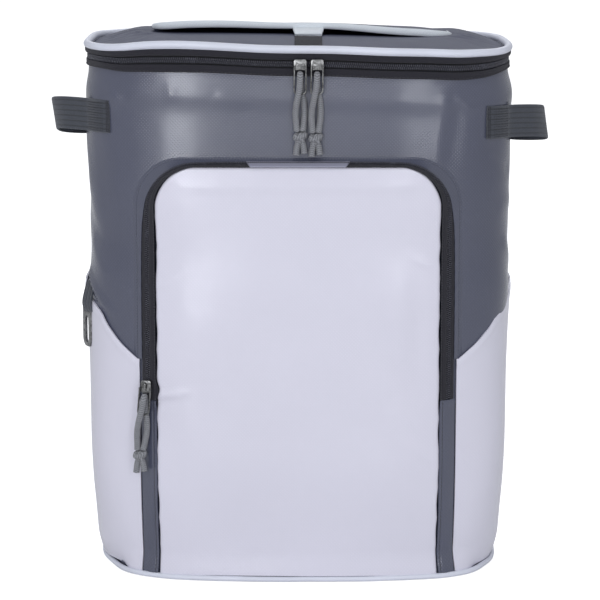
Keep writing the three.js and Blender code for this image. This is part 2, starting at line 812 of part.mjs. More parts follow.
// The white pull tab: over the binding, down its front and out over the lid.
function flapPullTab() {
  const x = pullOffset;
  const y = flapFront;
  const z = flapHeight(x, y);
  const lift = flapBinding + gap + tabThickness / 2 + 0.2;
  const route = [
    [6, lift], [1, lift], [-1.6, lift * 0.8], [-2.9, 0.6], [-3.4, -2.4], [-6, -4.6],
    [-tabReach * 0.6, -tabDrop * 0.85], [-tabReach, -tabDrop],
  ];
  const course = route.map(([forward, rise], i) => {
    const before = route[Math.max(0, i - 1)];
    const after = route[Math.min(route.length - 1, i + 1)];
    const along = new THREE.Vector3(0, after[0] - before[0], after[1] - before[1]).normalize();
    const normal = new THREE.Vector3(1, 0, 0).cross(along).negate();
    return { point: new THREE.Vector3(x, y + forward, z + rise), normal };
  });
  return loft(sectionsAlong(course, flatProfile(tabWidth, tabThickness)));
}

function hookPatch() {
  const rows = [0, 0.25, 0.5, 0.75, 1];
  const front = -patchBack - patchLength;
  const place = (raise) => (i, j) => {
    const x = pullOffset + (i - 0.5) * patchWidth;
    const y = THREE.MathUtils.lerp(front, -patchBack, rows[j]);
    return new THREE.Vector3(x, y, lidTop(x, y) + gap + raise);
  };
  const top = grid(2, rows.length, place(1.2));
  const bottom = grid(2, rows.length, place(0));
  return wallBetween(top, bottom);
}

// Webbing carry handle on one side, sewn flat at both ends and standing off between them.
function sideHandle(side) {
  const course = handleCourse.map(({ run, out, sag }) => {
    const s = side * (handleStart + run * handleStand);
    const stand = gap + webbingThickness / 2 + out * handleStand;
    const point = onSkin(s, handleHeight, stand, true);
    const sewn = onSkin(s, handleHeight, 0, true);
    point.z = handleHeight + warp(sewn.x, sewn.y) * 0.8 - sag * handleRearDrop;
    return { point };
  });
  if (side < 0) course.reverse();
  return loft(strapSections(course, webbingWidth, webbingThickness));
}

// Sections of an upright strap whose width stays vertical.
function strapSections(course, width, thickness) {
  const last = course.length - 1;
  return course.map(({ point }, i) => {
    const along = course[Math.min(last, i + 1)].point.clone().sub(course[Math.max(0, i - 1)].point);
    const out = along.setZ(0).normalize().cross(up);
    return flatProfile(width, thickness).map(([p, q]) =>
      point.clone().addScaledVector(up, p).addScaledVector(out, q),
    );
  });
}

// A flat frame on the skin: along the surface, up, and out of it.
function skinFrame(s, z, out) {
  const normal = skinNormal(s, z).setZ(0).normalize();
  const along = up.clone().cross(normal).normalize();
  return { origin: onSkin(s, z, out, true), normal, along };
}

function inFrame(frame, p, q, r) {
  return frame.origin
    .clone()
    .addScaledVector(frame.along, p)
    .addScaledVector(up, q)
    .addScaledVector(frame.normal, r);
}

const gearLoopSeat = sidePocketGap + cloth + 0.5 + gap;

function gearLoop() {
  const frame = skinFrame(gearLoopSide, gearLoopBottom, gearLoopSeat);
  const tall = gearLoopTop - gearLoopBottom;
  const t = gearLoopThickness;
  const route = [
    [tall, t / 2], [tall * 0.6, t / 2 + 0.3], [tall * 0.3, t / 2 + 0.6], [1.6, t / 2 + 1.2],
    [0, t / 2 + 2.6], [0, gearLoopStand - 2.8], [2, gearLoopStand - 1.2],
    [tall * 0.3, gearLoopStand], [tall * 0.62, gearLoopStand - 1.8], [tall, t * 1.5 + 0.3],
  ];
  const half = gearLoopWidth / 2;
  const sections = route.map(([rise, out], i) => {
    const before = route[Math.max(0, i - 1)];
    const after = route[Math.min(route.length - 1, i + 1)];
    const run = Math.hypot(after[0] - before[0], after[1] - before[1]);
    const sideways = [(after[1] - before[1]) / run, -(after[0] - before[0]) / run];
    const corner = (p, q) =>
      inFrame(frame, p, rise + sideways[0] * q, out + sideways[1] * q);
    return [corner(-half, -t / 2), corner(half, -t / 2), corner(half, t / 2), corner(-half, t / 2)];
  });
  return loft(sections);
}

function roundedOutline(shape, width, height, radius, y) {
  const w = width / 2;
  shape.moveTo(-w + radius, y);
  shape.lineTo(w - radius, y);
  shape.absarc(w - radius, y + radius, radius, -Math.PI / 2, 0);
  shape.lineTo(w, y + height - radius);
  shape.absarc(w - radius, y + height - radius, radius, 0, Math.PI / 2);
  shape.lineTo(-w + radius, y + height);
  shape.absarc(-w + radius, y + height - radius, radius, Math.PI / 2, Math.PI);
  shape.lineTo(-w, y + radius);
  shape.absarc(-w + radius, y + radius, radius, Math.PI, 1.5 * Math.PI);
  return shape;
}

// The metal opener: a flat frame with an eye for the webbing, a long slot and two small holes.
function bottleOpener() {
  const outline = roundedOutline(new THREE.Shape(), openerWidth, openerLength, openerWidth * 0.36, 0);
  const eyeFoot = openerLength - openerBar - openerEye;
  const eyeWidth = gearLoopWidth + 2 * openerEyeSide;
  outline.holes.push(
    roundedOutline(new THREE.Path(), eyeWidth, openerEye, 1.2, eyeFoot),
    roundedOutline(
      new THREE.Path(), openerSlotWidth, eyeFoot - 2 * openerSlotGap, openerSlotWidth * 0.45,
      openerSlotGap,
    ),
  );
  const leg = (openerWidth + openerSlotWidth) / 4;
  for (const share of [0.34, 0.5]) {
    const dot = new THREE.Path();
    dot.absarc(-leg, openerLength * share, openerDot, 0, 2 * Math.PI);
    outline.holes.push(dot);
  }
  const plate = new THREE.ExtrudeGeometry(outline, {
    depth: openerThickness,
    bevelEnabled: false,
    curveSegments: 3,
  });
  const frame = skinFrame(gearLoopSide, gearLoopBottom, gearLoopSeat);
  const rest = gearLoopThickness + 2.5;
  const drop = openerLength - openerBar - 0.4 * openerEye;
  const place = new THREE.Matrix4()
    .makeBasis(frame.along, up, frame.normal)
    .setPosition(inFrame(frame, 0, gearLoopThickness - drop, rest));
  return plate.applyMatrix4(place);
}

// A slider body with the bridge that its puller and cord hang from. It lies along its travel.
function sliderSolid() {
  const body = roundedOutline(new THREE.Shape(), sliderWidth, sliderLength, 1.6, -sliderLength / 2);
  const plate = new THREE.ExtrudeGeometry(body, {
    depth: sliderHeight,
    bevelEnabled: false,
    curveSegments: 2,
  });
  const bar = bailThick;
  const span = sliderLength * 0.62;
  const side = [
    [-span / 2, -0.4], [-span / 2, bailHeight], [span / 2, bailHeight], [span / 2, -0.4],
    [span / 2 - bar, -0.4], [span / 2 - bar, bailHeight - bar],
    [-span / 2 + bar, bailHeight - bar], [-span / 2 + bar, -0.4],
  ].map(([y, z]) => new THREE.Vector2(y, z));
  const bridge = new THREE.ExtrudeGeometry(new THREE.Shape(side), {
    depth: bar * 1.4,
    bevelEnabled: false,
  });
  bridge.applyMatrix4(
    new THREE.Matrix4().makeBasis(
      new THREE.Vector3(0, 1, 0),
      new THREE.Vector3(0, 0, 1),
      new THREE.Vector3(1, 0, 0),
    ).setPosition(-bar * 0.7, 0, sliderHeight),
  );
  return joined(plate, bridge);
}

const wasm = await Module();
wasm.setup();

function solidFrom(geometry) {
  const bare = new THREE.BufferGeometry().setAttribute(
    "position",
    (geometry.index ? geometry.toNonIndexed() : geometry).getAttribute("position"),
  );
  const merged = mergeVertices(bare, 1e-3);
  return new wasm.Manifold(
    new wasm.Mesh({
      numProp: 3,
      vertProperties: merged.attributes.position.array,
      triVerts: new Uint32Array(merged.index.array),
    }),
  );
}

function joined(first, ...others) {
  let solid = solidFrom(first);
  for (const other of others) solid = solid.add(solidFrom(other));
  const mesh = solid.getMesh();
  return new THREE.BufferGeometry()
    .setAttribute("position", new THREE.BufferAttribute(new Float32Array(mesh.vertProperties), 3))
    .setIndex(new THREE.BufferAttribute(new Uint32Array(mesh.triVerts), 1));
}

// Where each slider sits: its centre on the front, the stand of its chain, and its travel.
const lidSliderHeight = bodyHeight + chainLow + lidChainHeight / 2;
const sliderSpots = {
  left: { x: pullOffset - 6.4, z: lidSliderHeight, stand: lidBandStand, flat: true },
  right: { x: pullOffset + 6.4, z: lidSliderHeight, stand: lidBandStand, flat: true },
};
for (const spot of Object.values(sliderSpots)) {
  spot.z += warp(spot.x, -bodyDepth / 2);
}
const pocketSliderHeight = pocketZipEnd + 11;

function sliderPlace(spot) {
  const frame = skinFrame(spot.x, spot.z, spot.stand + gap);
  const travel = spot.flat ? frame.along : up;
  const across = travel.clone().cross(frame.normal);
  return new THREE.Matrix4().makeBasis(across, travel, frame.normal).setPosition(frame.origin);
}

const pocketSpot = () => {
  const x = -(pocketHalfWidth - pocketBandSide / 2);
  const lift = pocketLift(-(pocketHalfWidth - pocketBandSide), pocketSliderHeight);
  const stand = (cloth + gap + lift) / 2 + gap + pocketChainStand + 1;
  return { x, z: pocketSliderHeight, stand, flat: false };
};

// A wire puller: a hairpin whose open ends lie beside the slider's bridge.
function wirePuller(spot, lean) {
  const frame = skinFrame(spot.x, spot.z, spot.stand + gap + wireStand);
  const w = wireWidth / 2;
  const r = w * 0.7;
  const course = [
    [-w, -0.5], [-w, -wireLength * 0.5], [-w, -wireLength + r], [-w + r * 0.3, -wireLength + r * 0.3],
    [-w + r, -wireLength], [w - r, -wireLength], [w - r * 0.3, -wireLength + r * 0.3],
    [w, -wireLength + r], [w, -wireLength * 0.5], [w, -0.5],
  ].map(([p, q]) => ({
    point: inFrame(frame, p + lean * q, q, wireLean * q),
    normal: frame.normal,
  }));
  return loft(sectionsAlong(course, roundProfile(wireRadius, 5)));
}

// Route of a pull cord from the knot up, round the foot of the wire and back to the knot. Each
// point holds across, up and out from the middle of the slider's base.
const cordRoute = [
  [1.9, -50, 1.9], [2.6, -45, 0.8], [3.3, -36, -0.1], [2.6, -27, 0], [1, -20, 0.4],
  [0.2, -13, 0.9], [0, -9.4, 1.2], [0, -7.4, 2.3], [0, -6.9, 3.6], [0, -7.4, 4.9],
  [0, -9.4, 6], [-0.2, -13, 6.4], [-0.8, -19, 6.6], [-2, -25, 6], [-3.3, -33, 3.6],
  [-3.4, -40, 2.2], [-2.7, -46, 1.9], [-2.4, -50, 1.9],
];
const cordRoutes = {
  left: { spot: sliderSpots.left, drop: 50, lean: 0, raise: 0 },
  right: { spot: sliderSpots.right, drop: 51, lean: 0.02, raise: 0 },
  pocket: { spot: pocketSpot(), drop: 49, lean: 0.1, raise: 0.4 },
};

const cordFrame = (spot) => skinFrame(spot.x, spot.z, spot.stand + gap);

function cordPoints({ spot, drop, lean, raise }) {
  const frame = cordFrame(spot);
  const foot = cordRoute[0][1];
  return cordRoute.map(([p, q, r]) => {
    const down = (q * drop) / -foot - raise * 2;
    return inFrame(frame, p + lean * down, down, r + raise);
  });
}

function sectionShape(radius, sides) {
  return new THREE.Shape(
    roundProfile(radius, sides).map(([x, y]) => new THREE.Vector2(x, y)),
  );
}

function pullCord(route) {
  return new THREE.ExtrudeGeometry(sectionShape(cordRadius, cordSides), {
    extrudePath: new THREE.CatmullRomCurve3(cordPoints(route)),
    steps: 24,
    bevelEnabled: false,
  });
}

// The knot under a pull cord, with its two short tails.
function pullKnot({ spot, drop, lean, raise }) {
  const frame = cordFrame(spot);
  const down = -drop - raise * 2 - gap - knotHeight / 2;
  const out = cordRoute[0][2] + raise;
  const centre = inFrame(frame, lean * down, down, out);
  const ball = new THREE.SphereGeometry(0.5, 8, 6);
  ball.applyMatrix4(
    new THREE.Matrix4()
      .makeBasis(
        frame.along.clone().multiplyScalar(knotWidth),
        frame.normal.clone().multiplyScalar(knotHeight),
        up.clone().negate().multiplyScalar(knotHeight),
      )
      .setPosition(centre),
  );
  const tail = (side) => {
    const top = inFrame(frame, lean * down + side * 1.8, down - 1, out);
    const foot = inFrame(frame, lean * down + side * 3.4, down - knotHeight / 2 - tailLength, out - 0.6);
    return new THREE.ExtrudeGeometry(sectionShape(cordRadius, cordSides), {
      extrudePath: new THREE.LineCurve3(top, foot),
      steps: 1,
      bevelEnabled: false,
    });
  };
  return joined(ball, tail(-1), tail(1));
}

// Back: lengths are measured from the middle of the back.
const onBack = (p, z, out) => onSkin(halfGirth(z) - p, z, out);

function backPanel() {
  const rows = [0, 0.04, 0.12, 0.35, 0.65, 0.88, 0.96, 1];
  const reach = backPanelWidth / 2;
  const half = ringShares.slice(0, 3).map((share) => (share * halfGirth(bodyHeight / 2)) / reach);
  const shares = [-1, ...half.map((share) => -share).reverse(), 0, ...half, 1];
  const place = (full) => (i, j) => {
    const z = THREE.MathUtils.lerp(backPanelFoot, backPanelTop, rows[j]);
    const p = -shares[i] * reach;
    const edge = Math.min(1 - Math.abs(shares[i]), Math.min(rows[j], 1 - rows[j]) * 1.6);
    const crown = Math.sqrt(THREE.MathUtils.clamp(edge / 0.14, 0, 1));
    const thick = cloth + (backPanelThickness - cloth) * crown;
    return onBack(p, z, backPanelStand + full * thick);
  };
  return wallBetween(
    grid(shares.length, rows.length, place(1)),
    grid(shares.length, rows.length, place(0)),
  );
}

const backFace = bodyDepth / 2 + backPanelStand + backPanelThickness;

// Course of a shoulder strap, from the top of the back panel down to its buckle.
const strapTurns = [
  { down: 0, out: 0.16, spread: 0 },
  { down: 0.1, out: 0.5, spread: 0.02 },
  { down: 0.25, out: 0.85, spread: 0.12 },
  { down: 0.45, out: 1, spread: 0.36 },
  { down: 0.65, out: 0.9, spread: 0.62 },
  { down: 0.85, out: 0.62, spread: 0.86 },
  { down: 1, out: 0.42, spread: 1 },
];

function strapCourse(side) {
  return strapTurns.map(({ down, out, spread }) => ({
    point: new THREE.Vector3(
      side * (strapTopOut + spread * strapSpread),
      backFace + gap + strapThickness / 2 + out * strapStand,
      strapTopHeight - down * strapLength,
    ),
  }));
}

// Sections of a strap that hangs down the back, its width across the bag.
const sideways = new THREE.Vector3(1, 0, 0);
function hangingSections(course, profile) {
  const last = course.length - 1;
  return course.map(({ point, across = sideways }, i) => {
    const along = course[Math.min(last, i + 1)].point.clone().sub(course[Math.max(0, i - 1)].point);
    along.setX(0).normalize();
    const out = along.clone().cross(across).normalize();
    return profile.map(([p, q]) =>
      point.clone().addScaledVector(across, p).addScaledVector(out, q),
    );
  });
}

function shoulderStrap(side) {
  const w = strapWidth / 2;
  const t = strapThickness / 2;
  const profile = [[-w, -t * 0.4], [-w * 0.82, -t], [w * 0.82, -t], [w, -t * 0.4], [w, t * 0.4],
    [w * 0.82, t], [-w * 0.82, t], [-w, t * 0.4]];
  return loft(hangingSections(strapCourse(side), profile));
}

const strapFoot = (side) => strapCourse(side)[strapTurns.length - 1].point;

function strapBuckle(side) {
  const foot = strapFoot(side);
  const w = buckleWidth / 2;
  const bar = 4;
  const outline = roundedOutline(new THREE.Shape(), buckleWidth, buckleLength, 3, -buckleLength);
  const slot = (buckleLength - 3 * bar) / 2;
  for (const k of [1, 2]) {
    const low = -k * (bar + slot);
    const hole = new THREE.Path();
    hole.moveTo(-w + bar, low);
    hole.lineTo(w - bar, low);
    hole.lineTo(w - bar, low + slot);
    hole.lineTo(-w + bar, low + slot);
    outline.holes.push(hole);
  }
  const plate = new THREE.ExtrudeGeometry(outline, {
    depth: buckleThickness,
    bevelEnabled: false,
    curveSegments: 2,
  });
  return plate.applyMatrix4(
    new THREE.Matrix4()
      .makeBasis(new THREE.Vector3(1, 0, 0), up, new THREE.Vector3(0, -1, 0))
      .setPosition(foot.x, foot.y + buckleThickness / 2, foot.z - gap),
  );
}

// The webbing tail from a buckle down to the seam at the foot of the back.
function strapWebbing(side) {
  const foot = strapFoot(side);
  const top = foot.clone().add(new THREE.Vector3(0, 0, -gap - buckleLength - gap));
  const seat = gap + webbingThickness / 2;
  const seam = onBack(side * strapFootOut, strapFootHeight, seat);
  const skin = skinNormal(halfGirth(strapFootHeight) - side * strapFootOut, strapFootHeight);
  const sewn = new THREE.Vector3(skin.y, -skin.x, 0).normalize();
  const stops = [0, 0.2, 0.45, 0.7, 0.88, 1];
  const course = stops.map((t) => {
    const point = top.clone().lerp(seam, t);
    point.y = THREE.MathUtils.lerp(top.y, seam.y, t ** 3);
    return { point, across: sideways.clone().lerp(sewn, t).normalize() };
  });
  return loft(hangingSections(course, flatProfile(webbingWidth, webbingThickness)));
}

// The haul loop at the top of the back, sewn flat at both ends.
function haulLoop() {
  const shape = [
    [-0.5, 0], [-0.36, 0.02], [-0.27, 0.5], [-0.14, 0.9], [0, 1], [0.14, 0.9], [0.27, 0.5],
    [0.36, 0.02], [0.5, 0],
  ];
  const course = shape.map(([share, out]) => {
    const point = onBack(-share * haulWidth, haulHeight, gap + webbingThickness / 2);
    point.y += out * haulStand;
    point.z = haulHeight + out * haulRise;
    return { point };
  });
  return loft(strapSections(course.reverse(), webbingWidth * 0.8, webbingThickness));
}

const bag = new THREE.Group();

function add(name, geometry, material) {
  const mesh = new THREE.Mesh(geometry, material);
  mesh.name = name;
  bag.add(mesh);
  return mesh;
}

function addPlaced(name, geometry, material, matrix) {
  const mesh = add(name, geometry, material);
  matrix.decompose(mesh.position, mesh.quaternion, mesh.scale);
}

add("insulated_body", insulatedBody(), colours.grey);
add("base_piping", basePiping(), colours.piping);
add("side_pocket_left", sidePocket(-1), colours.white);
add("side_pocket_right", sidePocket(1), colours.white);
add("pocket_panel", pocketPanel(), colours.white);
add("pocket_zip_tape", pocketZipTape(), colours.tape);
add("pocket_zip_chain", pocketZipChain(), colours.chain);
add("pocket_strip_left", pocketStrip(-1), colours.grey);
add("pocket_strip_right", pocketStrip(1), colours.grey);
add("pocket_top_strip", pocketTopStrip(), colours.strip);
add("lid_panel", lidPanel(), colours.grey);
add("lid_piping", lidPiping(), colours.piping);
add("lid_band", lidBand(), colours.tape);
add("lid_zip_chain", lidZipChain(), colours.chain);
add("lid_zip_tape", lidZipTape(), colours.tape);
add("lid_hinge", lidHinge(), colours.grey);
add("access_flap", accessFlap(), colours.grey);
add("flap_binding", flapBindingEdge(), colours.binding);
add("flap_pull_tab", flapPullTab(), colours.binding);
add("hook_patch", hookPatch(), colours.tape);
add("side_handle_left", sideHandle(-1), colours.webbing);
add("side_handle_right", sideHandle(1), colours.webbing);
add("gear_loop", gearLoop(), colours.webbing);
add("bottle_opener", bottleOpener(), colours.metal);
for (const [where, route] of Object.entries(cordRoutes)) {
  const stem = where === "pocket" ? "pocket" : "lid";
  const end = where === "pocket" ? "" : "_" + where;
  addPlaced(stem + "_slider" + end, sliderSolid(), colours.metal, sliderPlace(route.spot));
  add(stem + "_puller" + end, wirePuller(route.spot, route.lean), colours.metal);
  add(stem + "_pull_cord" + end, pullCord(route), colours.cord);
  add(stem + "_pull_knot" + end, pullKnot(route), colours.cord);
}
add("back_panel", backPanel(), colours.padding);
for (const [where, side] of [["left", -1], ["right", 1]]) {
  add("shoulder_strap_" + where, shoulderStrap(side), colours.padding);
  add("strap_buckle_" + where, strapBuckle(side), colours.plastic);
  add("strap_webbing_" + where, strapWebbing(side), colours.webbing);
}
add("haul_loop", haulLoop(), colours.webbing);

export default bag;
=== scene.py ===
"""Dresses the cooler backpack's frame: coated fabric, zips, webbing, cord, metal and padding."""
from math import cos, pi, radians, sin

import bmesh
import bpy
import numpy as np
from mathutils import Euler, Matrix, Vector


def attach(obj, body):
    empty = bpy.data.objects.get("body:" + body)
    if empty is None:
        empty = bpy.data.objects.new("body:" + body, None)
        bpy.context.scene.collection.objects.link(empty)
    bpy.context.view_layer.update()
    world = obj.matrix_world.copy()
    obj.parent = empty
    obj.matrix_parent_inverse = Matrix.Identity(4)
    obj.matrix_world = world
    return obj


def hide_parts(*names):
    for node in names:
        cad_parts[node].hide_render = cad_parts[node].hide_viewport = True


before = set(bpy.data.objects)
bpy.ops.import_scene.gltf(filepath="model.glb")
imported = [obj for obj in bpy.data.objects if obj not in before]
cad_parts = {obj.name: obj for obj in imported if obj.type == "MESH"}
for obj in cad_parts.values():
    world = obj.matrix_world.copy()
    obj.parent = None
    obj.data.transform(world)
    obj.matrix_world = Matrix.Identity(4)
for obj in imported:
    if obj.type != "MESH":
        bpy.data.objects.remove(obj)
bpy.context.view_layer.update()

bl_info = {
    "name": "Cooler Backpack",
    "version": (1, 0, 0),
    "blender": (4, 5, 0),
    "location": "3D View > Sidebar > Bag",
    "description": "Makes a soft cooler backpack of coated fabric, zips, webbing, cord and padding",
    "category": "Add Mesh",
}

mm = 0.001


def length_prop(name, description, default):
    return bpy.props.FloatProperty(
        name=name, description=description, default=default, unit="LENGTH", precision=4
    )


def colour_prop(name, description, default):
    return bpy.props.FloatVectorProperty(
        name=name, description=description, default=default, subtype="COLOR", size=3, min=0, max=1
    )


def number_prop(name, description, default):
    return bpy.props.FloatProperty(name=name, description=description, default=default)


class BagSizes(bpy.types.PropertyGroup):
    """Sizes of the bag, in metres."""

    body_width: length_prop("Body width", "Across the widest part of the body", 324 * mm)
    body_depth: length_prop("Body depth", "Front to back of the body", 200 * mm)
    body_height: length_prop("Body height", "Base to rim before the rim's tilt", 396 * mm)
    cloth: length_prop("Cloth", "Thickness of the coated fabric with its lining", 1.4 * mm)
    piping: length_prop("Piping", "Radius of the lid's piping", 2.9 * mm)
    crown: length_prop("Lid crown", "How far the lid rises above its piping", 7 * mm)
    flap_width: length_prop("Flap width", "Width of the access flap", 235 * mm)
    flap_length: length_prop("Flap length", "Front to back of the access flap", 98 * mm)
    pocket_half: length_prop("Pocket half width", "Half width of the front pocket's zip arch", 120.4 * mm)
    pocket_top: length_prop("Pocket top", "Height of the front pocket", 327 * mm)
    webbing: length_prop("Webbing", "Width of the webbing", 25 * mm)
    handle_stand: length_prop("Handle stand", "How far a side handle stands off", 28 * mm)
    cord: length_prop("Cord", "Diameter of the pull cords", 4.7 * mm)
    strap: length_prop("Strap", "Width of a shoulder strap", 62 * mm)
    tooth_pitch: length_prop("Tooth pitch", "Distance between the teeth of one side of a zip", 1.5 * mm)
    stitch: length_prop("Stitch", "Length of one stitch with its gap", 3.1 * mm)
    crease: number_prop("Creases", "Strength of the creases in the coated fabric", 1.0)


class BagColours(bpy.types.PropertyGroup):
    """Colours of the bag, as linear values."""

    grey: colour_prop("Grey fabric", "Coated fabric of the body and lid", (0.087, 0.094, 0.138))
    white: colour_prop("White fabric", "Coated fabric of the pockets", (0.745, 0.73, 0.82))
    piping: colour_prop("Piping", "Piping of the lid and base", (0.76, 0.78, 0.87))
    tape: colour_prop("Zip tape", "Woven tape of the zips", (0.0155, 0.0145, 0.0225))
    coil: colour_prop("Zip coil", "Teeth of the zips", (0.045, 0.045, 0.058))
    strip: colour_prop("Top strip", "Strip over the pocket's zip", (0.4, 0.4, 0.5))
    binding: colour_prop("Binding", "Binding and pull tab of the flap", (0.84, 0.89, 0.98))
    webbing: colour_prop("Webbing", "Webbing of handles and straps", (0.042, 0.048, 0.063))
    metal: colour_prop("Metal", "Sliders, pullers and opener", (0.27, 0.27, 0.265))
    cord: colour_prop("Cord", "Light yarn of the pull cords", (0.3, 0.305, 0.325))
    padding: colour_prop("Padding", "Mesh fabric of the back", (0.05, 0.054, 0.068))
    plastic: colour_prop("Plastic", "Buckles of the shoulder straps", (0.014, 0.014, 0.018))


def sizes():
    return bpy.context.scene.bag_sizes


def colours():
    return bpy.context.scene.bag_colours


# Shader values written as expressions
class Shade:
    """A socket of a node tree, with the operators that make Math nodes."""

    def __init__(self, tree, socket):
        self.tree = tree
        self.socket = socket

    def math(self, operation, *others):
        return node(self.tree, "ShaderNodeMath", {"operation": operation}, (self, *others))

    def __add__(self, other):
        return self.math("ADD", other)

    __radd__ = __add__

    def __sub__(self, other):
        return self.math("SUBTRACT", other)

    def __rsub__(self, other):
        return (self * -1) + other

    def __mul__(self, other):
        return self.math("MULTIPLY", other)

    __rmul__ = __mul__

    def sine(self):
        return self.math("SINE")

    def size(self):
        return self.math("ABSOLUTE")

    def clamp(self):
        return self.math("MINIMUM", 1).math("MAXIMUM", 0)

    def step(self, low, high):
        """0 below low and 1 above high, smoothly between them."""
        ramp = {"interpolation_type": "SMOOTHSTEP"}
        return node(self.tree, "ShaderNodeMapRange", ramp, (self, low, high, 0, 1))


def node(tree, kind, settings, values, output=0):
    """Adds one node, sets it up, fills its sockets in order or by name, and wraps one output."""
    made = tree.nodes.new(kind)
    for key, value in settings.items():
        setattr(made, key, value)
    pairs = values.items() if isinstance(values, dict) else enumerate(values)
    for key, value in pairs:
        socket = made.inputs[key]
        if isinstance(value, Shade):
            tree.links.new(value.socket, socket)
        else:
            socket.default_value = value
    return Shade(tree, made.outputs[output])


def mix(tree, share, first, second):
    """A colour between two colours."""
    made = tree.nodes.new("ShaderNodeMix")
    made.data_type = "RGBA"
    for index, value in ((0, share), (6, first), (7, second)):
        if isinstance(value, Shade):
            tree.links.new(value.socket, made.inputs[index])
        elif index:
            made.inputs[index].default_value = (*value, 1)
        else:
            made.inputs[index].default_value = value
    return Shade(tree, made.outputs[2])


def noise(tree, place, scale, detail=2.0, roughness=0.5):
    values = {"Vector": place, "Scale": scale, "Detail": detail, "Roughness": roughness}
    return node(tree, "ShaderNodeTexNoise", {"noise_dimensions": "3D"}, values)


def uv_axes(tree):
    """The piece's own cloth coordinates, in metres along and up."""
    place = node(tree, "ShaderNodeUVMap", {}, ())
    parts = tree.nodes.new("ShaderNodeSeparateXYZ")
    tree.links.new(place.socket, parts.inputs[0])
    return Shade(tree, parts.outputs[0]), Shade(tree, parts.outputs[1])


def object_place(tree):
    return node(tree, "ShaderNodeTexCoord", {}, (), 3)


def bump(tree, height, distance, strength=1.0, normal=None):
    values = {"Strength": strength, "Distance": distance, "Height": height}
    if normal is not None:
        values["Normal"] = normal
    return node(tree, "ShaderNodeBump", {}, values)


def new_material(name, colour):
    """A material with its tree and shader, its viewport colour set."""
    made = bpy.data.materials.new(name)
    made.use_nodes = True
    made.diffuse_color = (*colour, 1)
    return made, made.node_tree, made.node_tree.nodes["Principled BSDF"]


def feed(tree, shader, **values):
    """Sets or links sockets of a shader, named with underscores for spaces."""
    for key, value in values.items():
        socket = shader.inputs[key.replace("_", " ")]
        if isinstance(value, Shade):
            tree.links.new(value.socket, socket)
        else:
            socket.default_value = (*value, 1) if isinstance(value, tuple) else value


def scaled(colour, share):
    return tuple(min(1.0, c * share) for c in colour)


weave_pitch, weave_rise = 2.6 * mm, 2.7 * mm


def coated_fabric(name, colour, rough, relief, sheen_colour, crumple=0.5, gloss=0.5, shade=0.84):
    """Coated woven fabric: a diamond weave under a soft gloss, with slow crumples and scuffs, the weave's
    hollows darkened as painted shade.
    """
    material, tree, shader = new_material(name, colour)
    along, rise = uv_axes(tree)
    a = (along * (2 * pi / weave_pitch)).sine()
    b = (rise * (2 * pi / weave_rise)).sine()
    weave = (a * b).clamp()
    spot = object_place(tree)
    slow = noise(tree, spot, 9, 3)
    scuff = noise(tree, spot, 60, 4, 0.6)
    fine = noise(tree, spot, 900, 2)
    # painted shade: the weave's low hollows take a darker copy of the colour, scaled by shade
    tone = mix(tree, weave.step(0.15, 0.6), scaled(colour, shade), colour)
    tone = mix(tree, slow.step(0.35, 0.7) * 0.35, tone, sheen_colour)
    shine = slow * 0.05 + scuff * 0.07 + fine * 0.04 + (rough - 0.08)
    broad = bump(tree, slow, 6 * mm, crumple)
    creased = bump(tree, scuff, 0.5 * mm, 0.35 * crumple, broad)
    woven = bump(tree, weave + fine * 0.2, relief, 1.0, creased)
    feed(tree, shader, Base_Color=tone, Roughness=shine, Normal=woven)
    feed(tree, shader, IOR=1.5, Specular_IOR_Level=gloss)
    return material


tape_pitch = 0.9 * mm


def woven_tape(name, colour):
    """Fine herringbone tape for zips and patches, its ribs painted lighter and its grooves darker as light
    and shade.
    """
    material, tree, shader = new_material(name, colour)
    along, rise = uv_axes(tree)
    turn = 2 * pi / tape_pitch
    zig = (rise * (turn * 0.25)).sine().size()
    ribs = (along * turn + zig * 5).sine() * 0.5 + 0.5
    grain = noise(tree, object_place(tree), 700, 2)
    # painted light and shade: a lighter copy of the colour on the ribs, a darker one in the grooves
    tone = mix(tree, ribs.step(0.1, 0.9), scaled(colour, 0.72), scaled(colour, 1.3))
    feed(tree, shader, Base_Color=tone, Roughness=grain * 0.12 + 0.79)
    feed(tree, shader, Normal=bump(tree, ribs + grain * 0.4, 0.25 * mm, 0.9), Sheen_Weight=0.1)
    return material


rib_pitch, yarn_pitch, pick_pitch = 4.1 * mm, 0.8 * mm, 1.5 * mm


def webbing_fabric(name, colour):
    """Ribbed webbing: broad ribs along it, crossed by fine picks, painted lighter on their tops and darker in
    their grooves as light and shade.
    """
    material, tree, shader = new_material(name, colour)
    along, rise = uv_axes(tree)
    rib = (rise * (2 * pi / rib_pitch)).sine() * 0.5 + 0.5
    yarn = (rise * (2 * pi / yarn_pitch)).sine()
    pick = (along * (2 * pi / pick_pitch) + (rise * (2 * pi / rib_pitch)).sine() * 1.6).sine()
    cell = (yarn * pick) * 0.5 + 0.5
    grain = noise(tree, object_place(tree), 900, 3)
    height = rib * 0.5 + cell * 0.45 + grain * 0.3
    # painted highlight and shade: raised cells get a lighter copy, their gaps and the troughs between ribs
    # darker ones
    tone = mix(tree, cell.step(0.2, 0.9), scaled(colour, 0.5), scaled(colour, 1.7))
    tone = mix(tree, rib.step(0.0, 0.35), scaled(colour, 0.55), tone)
    feed(tree, shader, Base_Color=tone, Roughness=grain * 0.15 + 0.62)
    feed(tree, shader, Normal=bump(tree, height, 0.4 * mm, 0.9), Sheen_Weight=0.25)
    return material


slant_pitch, cross_pitch = 1.15 * mm, 1.5 * mm


